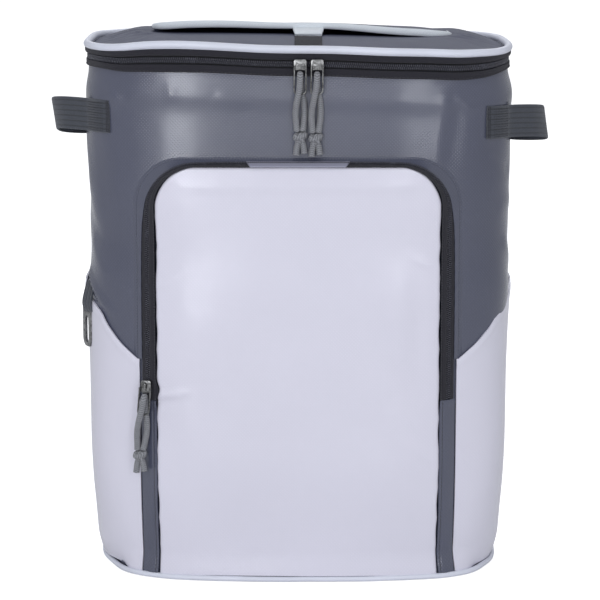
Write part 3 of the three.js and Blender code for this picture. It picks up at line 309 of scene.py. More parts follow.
def ribbed_binding(name, colour):
    """Soft binding tape with fine slanting ribs, painted lighter on their tops and darker in their grooves as
    light and shade.
    """
    material, tree, shader = new_material(name, colour)
    along, rise = uv_axes(tree)
    slant = ((along + rise * 0.6) * (2 * pi / slant_pitch)).sine() * 0.5 + 0.5
    cross = ((along - rise * 1.4) * (2 * pi / cross_pitch)).sine() * 0.5 + 0.5
    cell = slant * 0.6 + cross * 0.4
    # painted light and shade: the ribs' tops take a lighter copy of the colour, the grooves a darker one
    tone = mix(tree, cell, scaled(colour, 0.78), scaled(colour, 1.12))
    grain = noise(tree, object_place(tree), 700, 2)
    feed(tree, shader, Base_Color=tone, Roughness=grain * 0.1 + 0.68)
    feed(tree, shader, Normal=bump(tree, cell + grain * 0.3, 0.3 * mm, 0.8), Sheen_Weight=0.2)
    return material


def piping_cover(name, colour):
    """Smooth coated piping with slight ripples where it bends."""
    material, tree, shader = new_material(name, colour)
    spot = object_place(tree)
    ripple = noise(tree, spot, 140, 3)
    slow = noise(tree, spot, 22, 2)
    tone = mix(tree, slow.step(0.35, 0.7), scaled(colour, 0.92), colour)
    feed(tree, shader, Base_Color=tone, Roughness=ripple * 0.16 + 0.36, Coat_Weight=0.12)
    feed(tree, shader, Normal=bump(tree, ripple, 0.6 * mm, 0.35), Coat_Roughness=0.3)
    return material


def worn_metal(name, colour, rough=0.24):
    """Plated metal with tarnished hollows and fine scratches."""
    material, tree, shader = new_material(name, colour)
    spot = object_place(tree)
    stain = noise(tree, spot, 260, 4, 0.65)
    scratch = noise(tree, spot, 1500, 3)
    tone = mix(tree, stain.step(0.42, 0.62), scaled(colour, 0.55), colour)
    feed(tree, shader, Base_Color=tone, Metallic=1.0, Roughness=stain * 0.2 + scratch * 0.1 + (rough - 0.1))
    feed(tree, shader, Normal=bump(tree, scratch, 0.06 * mm, 0.5))
    return material


braid_pitch, hole_pitch = 1.6 * mm, 3.2 * mm


def braided_cord(name, colour):
    """Round braid of a light and a dark yarn: chevrons along the cord."""
    material, tree, shader = new_material(name, colour)
    along, rise = uv_axes(tree)
    turn = 2 * pi / braid_pitch
    lift = along * turn
    left = (lift + rise * 4).sine()
    right = (lift - rise * 4).sine()
    cross = (rise * 4).sine()
    plait = left.math("MAXIMUM", right) * 0.5 + 0.5
    side = (rise * 2).sine().step(-0.15, 0.15)
    grain = noise(tree, object_place(tree), 1400, 3)
    yarn = (left * side + right * (1 - side)) * 0.5 + 0.5
    mark = (yarn * 0.7 + (grain - 0.35) * 1.5).step(0.25, 0.75)
    tone = mix(tree, mark, scaled(colour, 0.45), colour)
    height = plait + cross * 0.1 + grain * 0.3
    feed(tree, shader, Base_Color=tone, Roughness=grain * 0.1 + 0.72)
    feed(tree, shader, Normal=bump(tree, height, 0.3 * mm, 0.9), Sheen_Weight=0.2)
    return material


def mesh_padding(name, colour):
    """Spacer mesh over foam: rows of small round holes, painted dark as shade inside them."""
    material, tree, shader = new_material(name, colour)
    along, rise = uv_axes(tree)
    turn = 2 * pi / hole_pitch
    holes = ((along + rise) * (turn * 0.7)).sine() * ((along - rise) * (turn * 0.7)).sine()
    hole = holes.step(0.25, 0.7)
    grain = noise(tree, object_place(tree), 900, 2)
    # painted shade: the holes take a much darker copy of the colour
    tone = mix(tree, hole, colour, scaled(colour, 0.3))
    feed(tree, shader, Base_Color=tone, Roughness=grain * 0.1 + 0.8)
    feed(tree, shader, Normal=bump(tree, grain * 0.3 - hole, 0.6 * mm, 0.9), Sheen_Weight=0.2)
    return material


def moulded_plastic(name, colour, rough=0.42):
    """Moulded plastic with a faint grain."""
    material, tree, shader = new_material(name, colour)
    spot = object_place(tree)
    grain = noise(tree, spot, 1800, 2)
    wear = noise(tree, spot, 120, 3)
    tone = mix(tree, wear.step(0.5, 0.75), colour, scaled(colour, 1.7))
    feed(tree, shader, Base_Color=tone, Roughness=grain * 0.14 + (rough - 0.07))
    feed(tree, shader, Normal=bump(tree, grain, 0.05 * mm, 0.6))
    return material


def thread(name, colour):
    """Twisted sewing thread."""
    material, tree, shader = new_material(name, colour)
    grain = noise(tree, object_place(tree), 2200, 2)
    tone = mix(tree, grain, scaled(colour, 0.6), scaled(colour, 1.3))
    feed(tree, shader, Base_Color=tone, Roughness=grain * 0.1 + 0.6)
    feed(tree, shader, Normal=bump(tree, grain, 0.08 * mm, 0.7))
    return material


finishes = {}


def make_finishes():
    tint = colours()
    grey, white = tuple(tint.grey), tuple(tint.white)
    finishes.update(
        # coated_fabric's last number is the painted shade in the weave's hollows: the white's is lighter, the
        # others keep the default
        grey=coated_fabric("coated grey", grey, 0.17, 0.075 * mm, scaled(grey, 1.08), 0.12, 0.9),
        white=coated_fabric("coated white", white, 0.22, 0.03 * mm, scaled(white, 1.03), 0.4, 0.4, 0.975),
        lid=coated_fabric("coated grey lid", grey, 0.45, 0.06 * mm, scaled(grey, 1.2), 0.6, 0.05),
        piping=piping_cover("piping", tuple(tint.piping)),
        tape=woven_tape("zip tape", tuple(tint.tape)),
        coil=moulded_plastic("zip coil", tuple(tint.coil), 0.24),
        # the zip's channel: the coil colour made near black, as painted shade of the groove under the teeth
        channel=woven_tape("zip channel", scaled(tuple(tint.coil), 0.15)),
        strip=coated_fabric("top strip", tuple(tint.strip), 0.36, 0.04 * mm, tuple(tint.strip), 0.2),
        binding=ribbed_binding("binding", tuple(tint.binding)),
        webbing=webbing_fabric("webbing", tuple(tint.webbing)),
        metal=worn_metal("plated metal", tuple(tint.metal)),
        cord=braided_cord("braided cord", tuple(tint.cord)),
        padding=mesh_padding("spacer mesh", tuple(tint.padding)),
        plastic=moulded_plastic("buckle plastic", tuple(tint.plastic)),
        dark_thread=thread("dark thread", (0.03, 0.03, 0.038)),
        grey_thread=thread("grey thread", (0.13, 0.14, 0.18)),
    )


# The bag's outer surface
body_sections = (
    # share of height, width, depth, squareness
    (0, 0.95, 0.985, 2.8),
    (0.02, 0.963, 0.995, 2.95),
    (0.06, 0.975, 1, 3.25),
    (0.113, 0.984, 1, 3.6),
    (0.18, 0.993, 1, 4),
    (0.27, 1, 1, 4.2),
    (0.56, 1, 1, 4.2),
    (0.65, 0.988, 0.995, 4.2),
    (0.74, 0.994, 1, 4.2),
    (0.87, 1.003, 1, 4.2),
    (1.1, 1.003, 1, 4.2),
)


def read_table(table, column, at):
    """A smooth curve through one column of a table, read at values of its first column."""
    rows = np.array(table, float)
    keys, values = rows[:, 0], rows[:, column]
    last = len(keys) - 1
    k = np.clip(np.searchsorted(keys, at, side="left") - 1, 0, last - 1)
    before, after = np.maximum(k - 1, 0), np.minimum(k + 2, last)
    span = keys[k + 1] - keys[k]
    t = np.clip((at - keys[k]) / span, 0, 1)
    slope_from = (values[k + 1] - values[before]) / (keys[k + 1] - keys[before]) * span
    slope_to = (values[after] - values[k]) / (keys[after] - keys[k]) * span
    t2, t3 = t * t, t * t * t
    return (
        values[k] * (2 * t3 - 3 * t2 + 1)
        + slope_from * (t3 - 2 * t2 + t)
        + values[k + 1] * (3 * t2 - 2 * t3)
        + slope_to * (t3 - t2)
    )


def ease(t):
    t = np.clip(t, 0, 1)
    return t * t * (3 - 2 * t)


def lerp(a, b, t):
    return a + (b - a) * t


def hump(x, middle, width):
    """A smooth bell of height 1."""
    return np.exp(-(((x - middle) / width) ** 2))


def unit(vectors):
    """The same directions, each of length 1."""
    return vectors / np.linalg.norm(vectors, axis=-1, keepdims=True)


def columns_of(table):
    """The columns of a table as upright arrays, to set against a row of places along a seam."""
    return [np.array(column, float)[:, None] for column in zip(*table)]


class Skin:
    """The outline at every height, read by length from the front centre, +X side positive."""

    steps = 900
    level_gap = 4 * mm

    def __init__(self, size):
        self.height = size.body_height
        self.levels = np.arange(-self.level_gap, 1.12 * self.height, self.level_gap)
        share = np.clip(self.levels / self.height, 0, 1.1)
        a = size.body_width / 2 * read_table(body_sections, 1, share)[:, None]
        b = size.body_depth / 2 * read_table(body_sections, 2, share)[:, None]
        n = read_table(body_sections, 3, share)[:, None]
        turn = np.linspace(0, pi, 2 * self.steps + 1)[None, :]
        c, s = np.sin(turn), -np.cos(turn)
        r = ((np.abs(c) / a) ** n + (np.abs(s) / b) ** n) ** (-1 / n)
        x, y = r * c, r * s
        grown = np.cumsum(np.hypot(np.diff(x), np.diff(y)), axis=1)
        self.half = grown[:, -1]
        even = np.linspace(0, 1, self.steps + 1)
        self.x = np.empty((len(self.levels), self.steps + 1))
        self.y = np.empty_like(self.x)
        for k in range(len(self.levels)):
            way = np.concatenate(([0], grown[k])) / self.half[k]
            self.x[k] = np.interp(even, way, x[k])
            self.y[k] = np.interp(even, way, y[k])

    def girth(self, z):
        """Half the way round at a height."""
        return np.interp(z, self.levels, self.half)

    def outline(self, length, z):
        share = np.abs(length) / self.girth(z)
        side = np.where(length < 0, -1.0, 1.0)
        side = np.where(share > 1, -side, side)
        share = np.where(share > 1, 2 - share, share)
        level = np.clip((z - self.levels[0]) / self.level_gap, 0, len(self.levels) - 1.001)
        column = np.clip(share * self.steps, 0, self.steps - 1e-6)
        k, m = level.astype(int), column.astype(int)
        p, q = level - k, column - m
        read = []
        for table in (self.x, self.y):
            low = lerp(table[k, m], table[k, m + 1], q)
            high = lerp(table[k + 1, m], table[k + 1, m + 1], q)
            read.append(lerp(low, high, p))
        return np.stack((side * read[0], read[1], z * np.ones_like(share)), -1)

    def normal(self, length, z, level=False):
        step = 2 * mm
        along = self.outline(length + step, z) - self.outline(length - step, z)
        low = np.maximum(0, z - step)
        rise = self.outline(length, z + step) - self.outline(length, low)
        out = np.cross(along, rise)
        if level:
            out[..., 2] = 0
        return unit(out)

    def at(self, length, z, out=0.0, level=False):
        """Points at a distance out from the outline."""
        length, z, out = np.broadcast_arrays(*(np.asarray(v, float) for v in (length, z, out)))
        return self.outline(length, z) + self.normal(length, z, level) * out[..., None]


skins = []


def skin():
    if not skins:
        skins.append(Skin(sizes()))
    return skins[0]


lid_tilt, lid_droop, lid_rear_drop = 0.02, 0.1, 6 * mm


def warp(x, y):
    """The rim's tilt to one side, droop at both ends and fall to the rear."""
    depth = sizes().body_depth
    return -lid_tilt * x - lid_droop * x * x - lid_rear_drop * (y + depth / 2) / depth


rim_table = (
    # length from the front centre, lift of the seam, squeeze of the zip's height
    (-0.49, 0.0035, 1), (-0.4, 0.0035, 1), (-0.3, 0.0035, 1), (-0.25, 0.0018, 0.86), (-0.2, -0.0002, 0.8),
    (-0.165, -0.002, 0.78), (-0.15, -0.0026, 0.8), (-0.135, -0.0022, 0.9), (-0.115, -0.0004, 1),
    (-0.095, 0, 1.04), (-0.075, -0.0006, 1.02), (-0.05, -0.0016, 1), (-0.025, -0.0025, 1), (0, -0.003, 1),
    (0.03, -0.003, 1), (0.06, -0.0028, 1), (0.095, -0.0023, 1), (0.12, -0.0022, 1), (0.14, -0.0008, 0.95),
    (0.152, 0.0002, 0.86), (0.165, 0.0016, 0.78), (0.185, 0.0032, 0.76), (0.215, 0.0042, 0.8),
    (0.26, 0.0056, 0.9), (0.33, 0.0072, 1), (0.4, 0.0066, 1), (0.49, 0.0035, 1),
)
rim_pivot = 14 * mm


def rim_wave(length):
    """The rise and fall of the sewn rim."""
    small = 0.35 * mm * np.sin(length * 29 + 0.8) + 0.25 * mm * np.sin(length * 67)
    return small + read_table(rim_table, 1, length)


def rim_squeeze(length):
    return read_table(rim_table, 2, length)


def on_rim(length, height, out):
    """Points round the warped rim, height above the rim."""
    z = sizes().body_height
    point = skin().at(length, z * np.ones_like(length), out, True)
    raised = rim_pivot + (height - rim_pivot) * rim_squeeze(length)
    point[..., 2] = z + raised + rim_wave(length) + warp(point[..., 0], point[..., 1])
    return point


# Mesh helpers
def deselect():
    bpy.ops.object.select_all(action="DESELECT")


def only(obj):
    deselect()
    obj.select_set(True)
    bpy.context.view_layer.objects.active = obj


def merge(obj):
    """Joins the points of a mesh that lie on one another."""
    only(obj)
    bpy.ops.object.mode_set(mode="EDIT")
    bpy.ops.mesh.select_all(action="SELECT")
    bpy.ops.mesh.remove_doubles(threshold=1e-6)
    bpy.ops.object.mode_set(mode="OBJECT")


def seal(obj, fill=True):
    """Merges the seams, closes the ends and turns the faces out."""
    merge(obj)
    bpy.ops.object.mode_set(mode="EDIT")
    if fill:
        bpy.ops.mesh.select_all(action="SELECT")
        bpy.ops.mesh.fill_holes(sides=0)
    bpy.ops.mesh.select_all(action="SELECT")
    bpy.ops.mesh.normals_make_consistent(inside=False)
    bpy.ops.object.mode_set(mode="OBJECT")


def modify(obj, kind, **settings):
    """Adds a modifier, sets it up and applies it."""
    only(obj)
    bpy.ops.object.modifier_add(type=kind)
    made = obj.modifiers[-1]
    for key, value in settings.items():
        setattr(made, key, value)
    bpy.ops.object.modifier_apply(modifier=made.name)


def smooth(obj, angle=40):
    only(obj)
    bpy.ops.object.shade_smooth_by_angle(angle=radians(angle))


def drape(name, points, cloth_map=None):
    """A grid primitive moved onto points[row][column], with its cloth coordinates in metres."""
    rows, columns = points.shape[0] - 1, points.shape[1] - 1
    deselect()
    bpy.ops.mesh.primitive_grid_add(x_subdivisions=columns, y_subdivisions=rows, size=1)
    obj = bpy.context.object
    obj.name = name
    mesh = obj.data
    mesh.name = name
    flat = np.empty(len(mesh.vertices) * 3, np.float32)
    mesh.vertices.foreach_get("co", flat)
    i = np.rint((flat[0::3] + 0.5) * columns).astype(int)
    j = np.rint((flat[1::3] + 0.5) * rows).astype(int)
    mesh.vertices.foreach_set("co", points[j, i].astype(np.float32).ravel())
    if cloth_map is None:
        wide = np.linalg.norm(np.diff(points, axis=1), axis=2).max(axis=0)
        tall = np.linalg.norm(np.diff(points, axis=0), axis=2).max(axis=1)
        u = np.concatenate(([0], np.cumsum(wide)))[None, :] * np.ones((rows + 1, 1))
        v = np.concatenate(([0], np.cumsum(tall)))[:, None] * np.ones((1, columns + 1))
        cloth_map = np.stack((u, v), -1)
    corner = np.empty(len(mesh.loops), np.int32)
    mesh.loops.foreach_get("vertex_index", corner)
    layer = mesh.uv_layers.active or mesh.uv_layers.new()
    layer.data.foreach_set("uv", cloth_map[j[corner], i[corner]].astype(np.float32).ravel())
    mesh.update()
    return obj


def tube(name, centres, ups, outs, profile, closed=False):
    """A profile of (out, up) points carried along a path."""
    loop = np.array([*profile, profile[0]])
    if closed:
        centres, ups, outs = (np.concatenate((v, v[:1])) for v in (centres, ups, outs))
    points = (
        centres[None]
        + outs[None] * loop[:, 0][:, None, None]
        + ups[None] * loop[:, 1][:, None, None]
    )
    obj = drape(name, points)
    seal(obj, fill=not closed)
    return obj


def round_profile(radius, sides):
    turn = np.linspace(0, 2 * pi, sides, endpoint=False)
    return np.stack((radius * np.cos(turn), radius * np.sin(turn)), -1)


def soft_box(out_low, out_high, up_low, up_high, round_off, turns=3):
    """A rectangle of (out, up) with round corners."""
    points = []
    corners = (
        (out_high, up_low, -pi / 2), (out_high, up_high, 0),
        (out_low, up_high, pi / 2), (out_low, up_low, pi),
    )
    for out, up, start in corners:
        inner_out = out - round_off * (1 if out == out_high else -1)
        inner_up = up - round_off * (1 if up == up_high else -1)
        for k in range(turns + 1):
            angle = start + pi / 2 * k / turns
            points.append((inner_out + round_off * cos(angle), inner_up + round_off * sin(angle)))
    return np.array(points)


def way_along(points):
    """The length of a path up to each of its points."""
    return np.concatenate(([0], np.cumsum(np.linalg.norm(np.diff(points, axis=0), axis=1))))


def read_path(stops, way, points):
    """The points of a path at chosen lengths along it."""
    return np.stack([np.interp(stops, way, points[:, m]) for m in range(3)], -1)


def smooth_path(points, count):
    """A Catmull-Rom curve through chosen points, read at even lengths."""
    points = np.asarray(points, float)
    ends = np.concatenate((2 * points[:1] - points[1:2], points, 2 * points[-1:] - points[-2:-1]))
    t = np.linspace(0, len(points) - 1, 24 * len(points))
    k = np.minimum(t.astype(int), len(points) - 2)
    f = (t - k)[:, None]
    p0, p1, p2, p3 = (ends[k + m] for m in range(4))
    curve = 0.5 * (
        2 * p1 + (p2 - p0) * f + (2 * p0 - 5 * p1 + 4 * p2 - p3) * f**2
        + (3 * p1 - p0 - 3 * p2 + p3) * f**3
    )
    way = way_along(curve)
    return read_path(np.linspace(0, way[-1], count), way, curve)


upwards, sideways = (0.0, 0.0, 1.0), (1.0, 0.0, 0.0)


def outward(centre, across):
    """The ways out of a band: square to its course and to its width."""
    return unit(np.cross(np.gradient(centre, axis=0), across))


def band(name, path, profile, finish, slot, *nodes, angle=50):
    """A profile carried along a path of centres, ups and outs, smoothed and put in its place."""
    obj = tube(name, *path, profile)
    smooth(obj, angle)
    return put(obj, finish, slot, *nodes)


def round_skin(name, path, way, radii, sides):
    """A round skin about a path, open at its ends, its radii given along it."""
    centres, ups, outs = path
    turn = np.linspace(0, 2 * pi, sides + 1)
    point = centres[None] + outs[None] * (radii * np.cos(turn)[:, None])[..., None]
    point += ups[None] * (radii * np.sin(turn)[:, None])[..., None]
    u, v = np.meshgrid(way, turn)
    return drape(name, point, np.stack((u, v), -1))


def stamp(name, model, places, axes):
    """One mesh made of a copy of a small model at each place, turned to its three axes."""
    source = model.data
    corners = np.empty(len(source.vertices) * 3, np.float32)
    source.vertices.foreach_get("co", corners)
    corners = corners.reshape(-1, 3)
    faces = [tuple(face.vertices) for face in source.polygons]
    turned = np.einsum("vk,nkc->nvc", corners, axes) + places[:, None]
    count = len(corners)
    every = [tuple(v + count * n for v in face) for n in range(len(places)) for face in faces]
    mesh = bpy.data.meshes.new(name)
    mesh.from_pydata(turned.reshape(-1, 3).tolist(), [], every)
    mesh.polygons.foreach_set("use_smooth", [True] * len(mesh.polygons))
    obj = bpy.data.objects.new(name, mesh)
    bpy.context.scene.collection.objects.link(obj)
    bpy.data.objects.remove(model)
    return obj


def small_block(along, up, out, round_off):
    """A small block with rounded edges, the model of a tooth or a stitch."""
    deselect()
    bpy.ops.mesh.primitive_cube_add(size=1, scale=(along, up, out))
    obj = bpy.context.object
    bpy.ops.object.transform_apply(location=False, rotation=False, scale=True)
    bpy.ops.object.mode_set(mode="EDIT")
    bpy.ops.mesh.select_all(action="SELECT")
    bpy.ops.mesh.bevel(offset=round_off, segments=1, affect="EDGES")
    bpy.ops.object.mode_set(mode="OBJECT")
    return obj


def walk(points, outs, pitch, start=0.0):
    """Places at even lengths along a path, with the axes along, up and out at each."""
    way = way_along(points)
    stops = np.arange(start, way[-1], pitch)
    near = pitch / 4
    along = unit(read_path(stops + near, way, points) - read_path(stops - near, way, points))
    up = unit(np.cross(read_path(stops, way, outs), along))
    return read_path(stops, way, points), np.stack((along, up, np.cross(along, up)), 1)


def stitches(name, paths, material, wide=0.55 * mm, high=0.4 * mm, pitch=None, share=0.76):
    """Rows of stitches, each path given as its points and outward ways."""
    pitch = pitch or sizes().stitch
    rows = [walk(points, outs, pitch, pitch / 2) for points, outs in paths]
    model = small_block(pitch * share, wide, high, 0.14 * mm)
    obj = stamp(name, model, *(np.concatenate(part) for part in zip(*rows)))
    put(obj, material, "zip_tape")
    return obj


def put(obj, finish, slot, *nodes):
    """Gives a finished piece its material and body, and hides the nodes it stands for; the slot is not used.
    """
    obj.data.materials.clear()
    obj.data.materials.append(finishes[finish])
    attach(obj, "root")
    if nodes:
        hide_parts(*nodes)
    return obj


def wall(obj, thickness, angle=40, **settings):
    """Gives a sheet its thickness inwards."""
    modify(obj, "SOLIDIFY", thickness=thickness, offset=-1, use_quality_normals=True, **settings)
    smooth(obj, angle)


def dressed_copy(node_name, name, round_off, segments=2):
    """A merged copy of a hard node with its edges rounded."""
    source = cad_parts[node_name]
    obj = source.copy()
    obj.data = source.data.copy()
    obj.name = name
    bpy.context.scene.collection.objects.link(obj)
    obj.parent = None
    obj.modifiers.clear()
    for key in list(obj.keys()):
        del obj[key]
    obj.matrix_world = Matrix.Identity(4)
    only(obj)
    bpy.ops.object.mode_set(mode="EDIT")
    bpy.ops.mesh.select_all(action="SELECT")
    bpy.ops.mesh.remove_doubles(threshold=1e-5)
    bpy.ops.mesh.dissolve_limited(angle_limit=radians(2))
    bpy.ops.object.mode_set(mode="OBJECT")
    modify(obj, "BEVEL", width=round_off, segments=segments, limit_method="ANGLE",
           angle_limit=radians(30), use_clamp_overlap=True)
    smooth(obj, 35)
    return obj


# Body
creases = (
    # along from, along to, up from, up to, width, height, in millimetres
    (-186, -146, 236, 207, 2.8, 2.2),
    (-176, -150, 262, 236, 7, 1.0),
    (-205, -160, 300, 262, 9, -1.3),
    (-200, -176, 372, 300, 8, 1.3),
    (-160, -146, 344, 250, 10, -1.0),
    (-170, -140, 362, 372, 6, 0.6),
    (-146, -136, 378, 371, 3.5, 1.5),
    (112, 104, 384, 322, 6, 0.7),
    (124, 116, 384, 330, 6, -0.7),
    (134, 128, 372, 250, 11, 0.7),
    (120, 132, 380, 368, 3.5, 1.6),
    (150, 180, 344, 320, 8, -1.2),
    (168, 205, 262, 240, 7, 1.2),
    (160, 190, 290, 296, 8, 0.8),
    (-60, -40, 376, 370, 6, 0.3),
    (60, 84, 374, 378, 6, 0.3),
    (-98, -94, 384, 372, 4, 0.5),
)


body_wall, lid_wall = 6 * mm, 4 * mm
bulge_left, bulge_right = 1.5 * mm, 3.6 * mm
bulge_front, bulge_front_blend = 120 * mm, 70 * mm
bulge_rear, bulge_rear_blend = 380 * mm, 90 * mm
bulge_foot, bulge_foot_blend, bulge_head_blend = 185 * mm, 45 * mm, 26 * mm


def body_bulge(s, z):
    """How much fuller the body is at its sides, the right one more."""
    far = np.abs(s)
    front = ease((far - bulge_front) / bulge_front_blend)
    rear = ease((bulge_rear - far) / bulge_rear_blend)
    rise = ease((z - bulge_foot) / bulge_foot_blend) * ease((sizes().body_height - z) / bulge_head_blend)
    return np.where(s > 0, bulge_right, bulge_left) * (front * rear) * rise


foot_forward, foot_end, foot_blend, foot_height = 3 * mm, 160 * mm, 30 * mm, 24 * mm
foot_bumps = (
    # side or 0 for both, length from the front centre, width, height, in millimetres
    (0, 112, 32, 2.4), (1, 126, 30, 2.2), (-1, 166, 24, -3.2), (0, 200, 30, -1.5),
)


def foot_tuck(s, z):
    """How the foot of the bag stands forward in front and turns in at its sides."""
    out = foot_forward * ease((foot_end - np.abs(s)) / foot_blend)
    for side, place, wide, high in foot_bumps:
        out = out + high * mm * hump(side * s if side else np.abs(s), place * mm, wide * mm)
    return out * ease((foot_height - z) / foot_height)


def body_creases(s, z):
    """Soft creases and hollows of the grey fabric above the pockets."""
    size = sizes()
    lift = np.zeros(np.broadcast(s, z).shape)
    for s0, s1, z0, z1, wide, high in creases:
        run = np.array((s1 - s0, z1 - z0), float) * mm
        long = np.hypot(*run)
        px, pz = s - s0 * mm, z - z0 * mm
        t = (px * run[0] + pz * run[1]) / long**2
        off = np.abs(px * run[1] - pz * run[0]) / long
        fade = ease(t / 0.3 + 0.5) * ease((1 - t) / 0.3 + 0.5)
        lift += high * mm * np.exp(-((off / (wide * mm)) ** 2)) * fade
    side = ease((np.abs(s) - 110 * mm) / (50 * mm))
    waves = (
        0.6 * np.sin(s * 31 + z * 13 + 0.6) * np.sin(z * 37 + 1.1)
        + 0.4 * np.sin(s * 57 - z * 43) * np.sin(z * 61 + s * 11)
    )
    swell = 0.9 * hump(z, size.body_height - 20 * mm, 9 * mm)
    seam = swell - 0.8 * hump(z, size.body_height - 4 * mm, 7 * mm)
    return (lift + (waves * (0.1 + 1.0 * side) + seam) * mm) * size.crease


def body_shell():
    """The whole body: skin with creases, flat base, open rim and its inner wall."""
    size = sizes()
    z = size.body_height
    rows, columns = 124, 324
    share = np.linspace(-1, 1, columns + 1)[None, :]
    rise = np.concatenate(([0, 0.004, 0.01, 0.018], np.linspace(0.028, 1, rows - 3)))[:, None]
    height = rise * z
    length = share * skin().girth(height)
    length, height = np.broadcast_arrays(length, height)
    free = ease((height / z - 0.4) / 0.12) * ease((z - height) / (14 * mm))
    out = body_creases(length, height) * free - 0.15 * mm * (1 - free)
    out = out + body_bulge(length, height) + foot_tuck(length, height)
    point = skin().at(length, height, out, True)
    settle = ease((height / z - 0.4) / 0.6)
    point[..., 2] += settle * warp(point[..., 0], point[..., 1])
    seam = share * skin().girth(z)
    drawn = rim_wave(seam) + (rim_pivot - tape_low) * (1 - rim_squeeze(seam))
    point[..., 2] += ease((height - z + 60 * mm) / (60 * mm)) * drawn
    obj = drape("body_shell", point, np.stack((length, height), -1))
    merge(obj)
    edit = bmesh.new()
    edit.from_mesh(obj.data)
    foot = [edge for edge in edit.edges if edge.is_boundary and edge.verts[0].co.z < mm]
    bmesh.ops.contextual_create(edit, geom=foot)
    edit.to_mesh(obj.data)
    edit.free()
    wall(obj, body_wall)
    return put(obj, "grey", "coated_grey", "insulated_body")


welt_radius = 2.1 * mm


def base_welt():
    """The piping round the foot of the body."""
    radius = welt_radius
    z = radius + 0.1 * mm
    half = float(skin().girth(z))
    length = np.linspace(-half, half, 361)[:-1]
    wave = 0.25 * mm * np.sin(length * 90) + 0.15 * mm * np.sin(length * 217)
    centre = skin().at(length, z, radius + 0.8 * mm + foot_tuck(length, z), True)
    centre[:, 2] += wave * 0.3 + 0.2 * mm
    outs = skin().normal(length, z * np.ones_like(length), True)
    ups = np.tile(upwards, (len(length), 1))
    obj = tube("base_welt", centre, ups, outs, round_profile(radius, 12), closed=True)
    smooth(obj, 60)
    return put(obj, "piping", "piping", "base_piping")


mouth_edge = (
    # share of the run, share of the rise
    (0, 0), (0.06, 0.1), (0.145, 0.24), (0.23, 0.41), (0.28, 0.51), (0.34, 0.65), (0.43, 0.75), (0.55, 0.82),
    (0.87, 0.96), (1, 1),
)
side_front, side_back = 121.4 * mm, 0.765
mouth_low, mouth_rise, mouth_run, mouth_gap = 173.5 * mm, 49 * mm, 100 * mm, 4.2 * mm
pocket_foot = 5.6 * mm


def mouth_height(s, side):
    along = np.clip((s - 123 * mm) / mouth_run, 0, 1)
    lower = 5 * mm * hump(s, 166 * mm, 22 * mm) if side > 0 else 0
    return mouth_low + mouth_rise * read_table(mouth_edge, 1, along) - lower


def side_pocket(side, name, node_name):
    """A slip pocket: its wall hugs the body and stands off at the mouth."""
    size = sizes()
    half = float(skin().girth(size.body_height / 2))
    columns, rows = 132, 110
    s = np.linspace(side_front, side_back * half, columns + 1)[None, :]
    v = np.linspace(0, 1, rows + 1)[:, None] ** 0.92
    mouth = mouth_height(s, side)
    z = lerp(pocket_foot, mouth, v)
    t = (s - side_front) / (side_back * half - side_front)
    opens = np.sin(pi * np.clip((t - 0.2) / 0.75, 0, 1)) ** 1.5
    near = ease(1 - (mouth - z) / (70 * mm))
    length = np.where(t < 0.001, s, s / half * skin().girth(z))
    length = lerp(s + 0 * z, length, ease(t * 6))
    slack = 0.5 * mm * np.sin(s * 38 + 1) * np.sin(z * 27) + 0.35 * mm * np.sin(s * 71 - z * 33)
    sag = 0.7 * mm * hump(z, 40 * mm, 26 * mm) * np.sin(s * 52 + z * 20)
    hem = 0.5 * mm * hump(mouth - z, 4.5 * mm, 3 * mm)
    edge = ease(t / 0.06) * ease((1 - t) / 0.04)
    out = 0.8 * mm + size.cloth + mouth_gap * opens * near + (slack + sag) * edge * ease(v * 8) + hem
    share = 0.35 if side > 0 else 1.0
    out = out + foot_tuck(side * s, z) + body_bulge(side * s, z) * opens * share
    point = skin().at(side * length, z, out)
    cloth_map = np.stack((np.broadcast_to(s, z.shape), z), -1)
    if side < 0:
        point, cloth_map = point[:, ::-1], cloth_map[:, ::-1]
    obj = drape(name, point, cloth_map)
    wall(obj, size.cloth)
    put(obj, "white", "coated_white", node_name)
    return obj, point


# Front pocket
pocket_corner, pocket_band, band_top, tightening = 36 * mm, 13 * mm, 4 * mm, 0.3
lift_side, lift_top, lift_foot, corner_loss, pocket_crown = 8 * mm, 12 * mm, 3 * mm, 0.55, 4.5 * mm
zip_end = 143 * mm
arch_side, arch_corner = 0.3, 0.4


def sewn_stand():
    """How far a seam on the body stands off it."""
    return sizes().cloth + 0.4 * mm


def pocket_lift(x, z):
    """How far the pocket's face stands off the body."""
    size = sizes()
    foot = ease((z - pocket_foot) / (95 * mm))
    side = lerp(lift_foot, lift_side, foot)
    top = ease((z - (size.pocket_top - 80 * mm)) / (80 * mm))
    corner = corner_loss * np.abs(x / size.pocket_half) ** 6
    edge = side + (lift_top - lift_side) * top * (1 - corner)
    inside = np.maximum(0, 1 - np.abs(x / (size.pocket_half - pocket_band)) ** 2.4)
    return edge + pocket_crown * inside * foot * (1 - top)


def arch_point(t, inset):
    """The arch that the zip follows, from 0 to 1, moved inwards by shares of the band."""
    size = sizes()
    t, inset = np.broadcast_arrays(np.asarray(t, float), np.asarray(inset, float))
    half = np.where(t <= 0.5, -1.0, 1.0)
    way = np.where(t <= 0.5, t, 1 - t)
    wide = size.pocket_half - pocket_band * inset
    top = size.pocket_top - band_top * inset
    radius = pocket_corner - pocket_band * tightening * inset
    angle = pi / 2 * np.clip((way - arch_side) / (arch_corner - arch_side), 0, 1)
    share = (0.5 - way) / (0.5 - arch_corner)
    x = np.where(way <= arch_corner, wide - radius + radius * np.cos(angle), (wide - radius) * share)
    z = np.where(
        way <= arch_side, lerp(zip_end, top - radius, way / arch_side), top - radius + radius * np.sin(angle)
    )
    return half * x, z


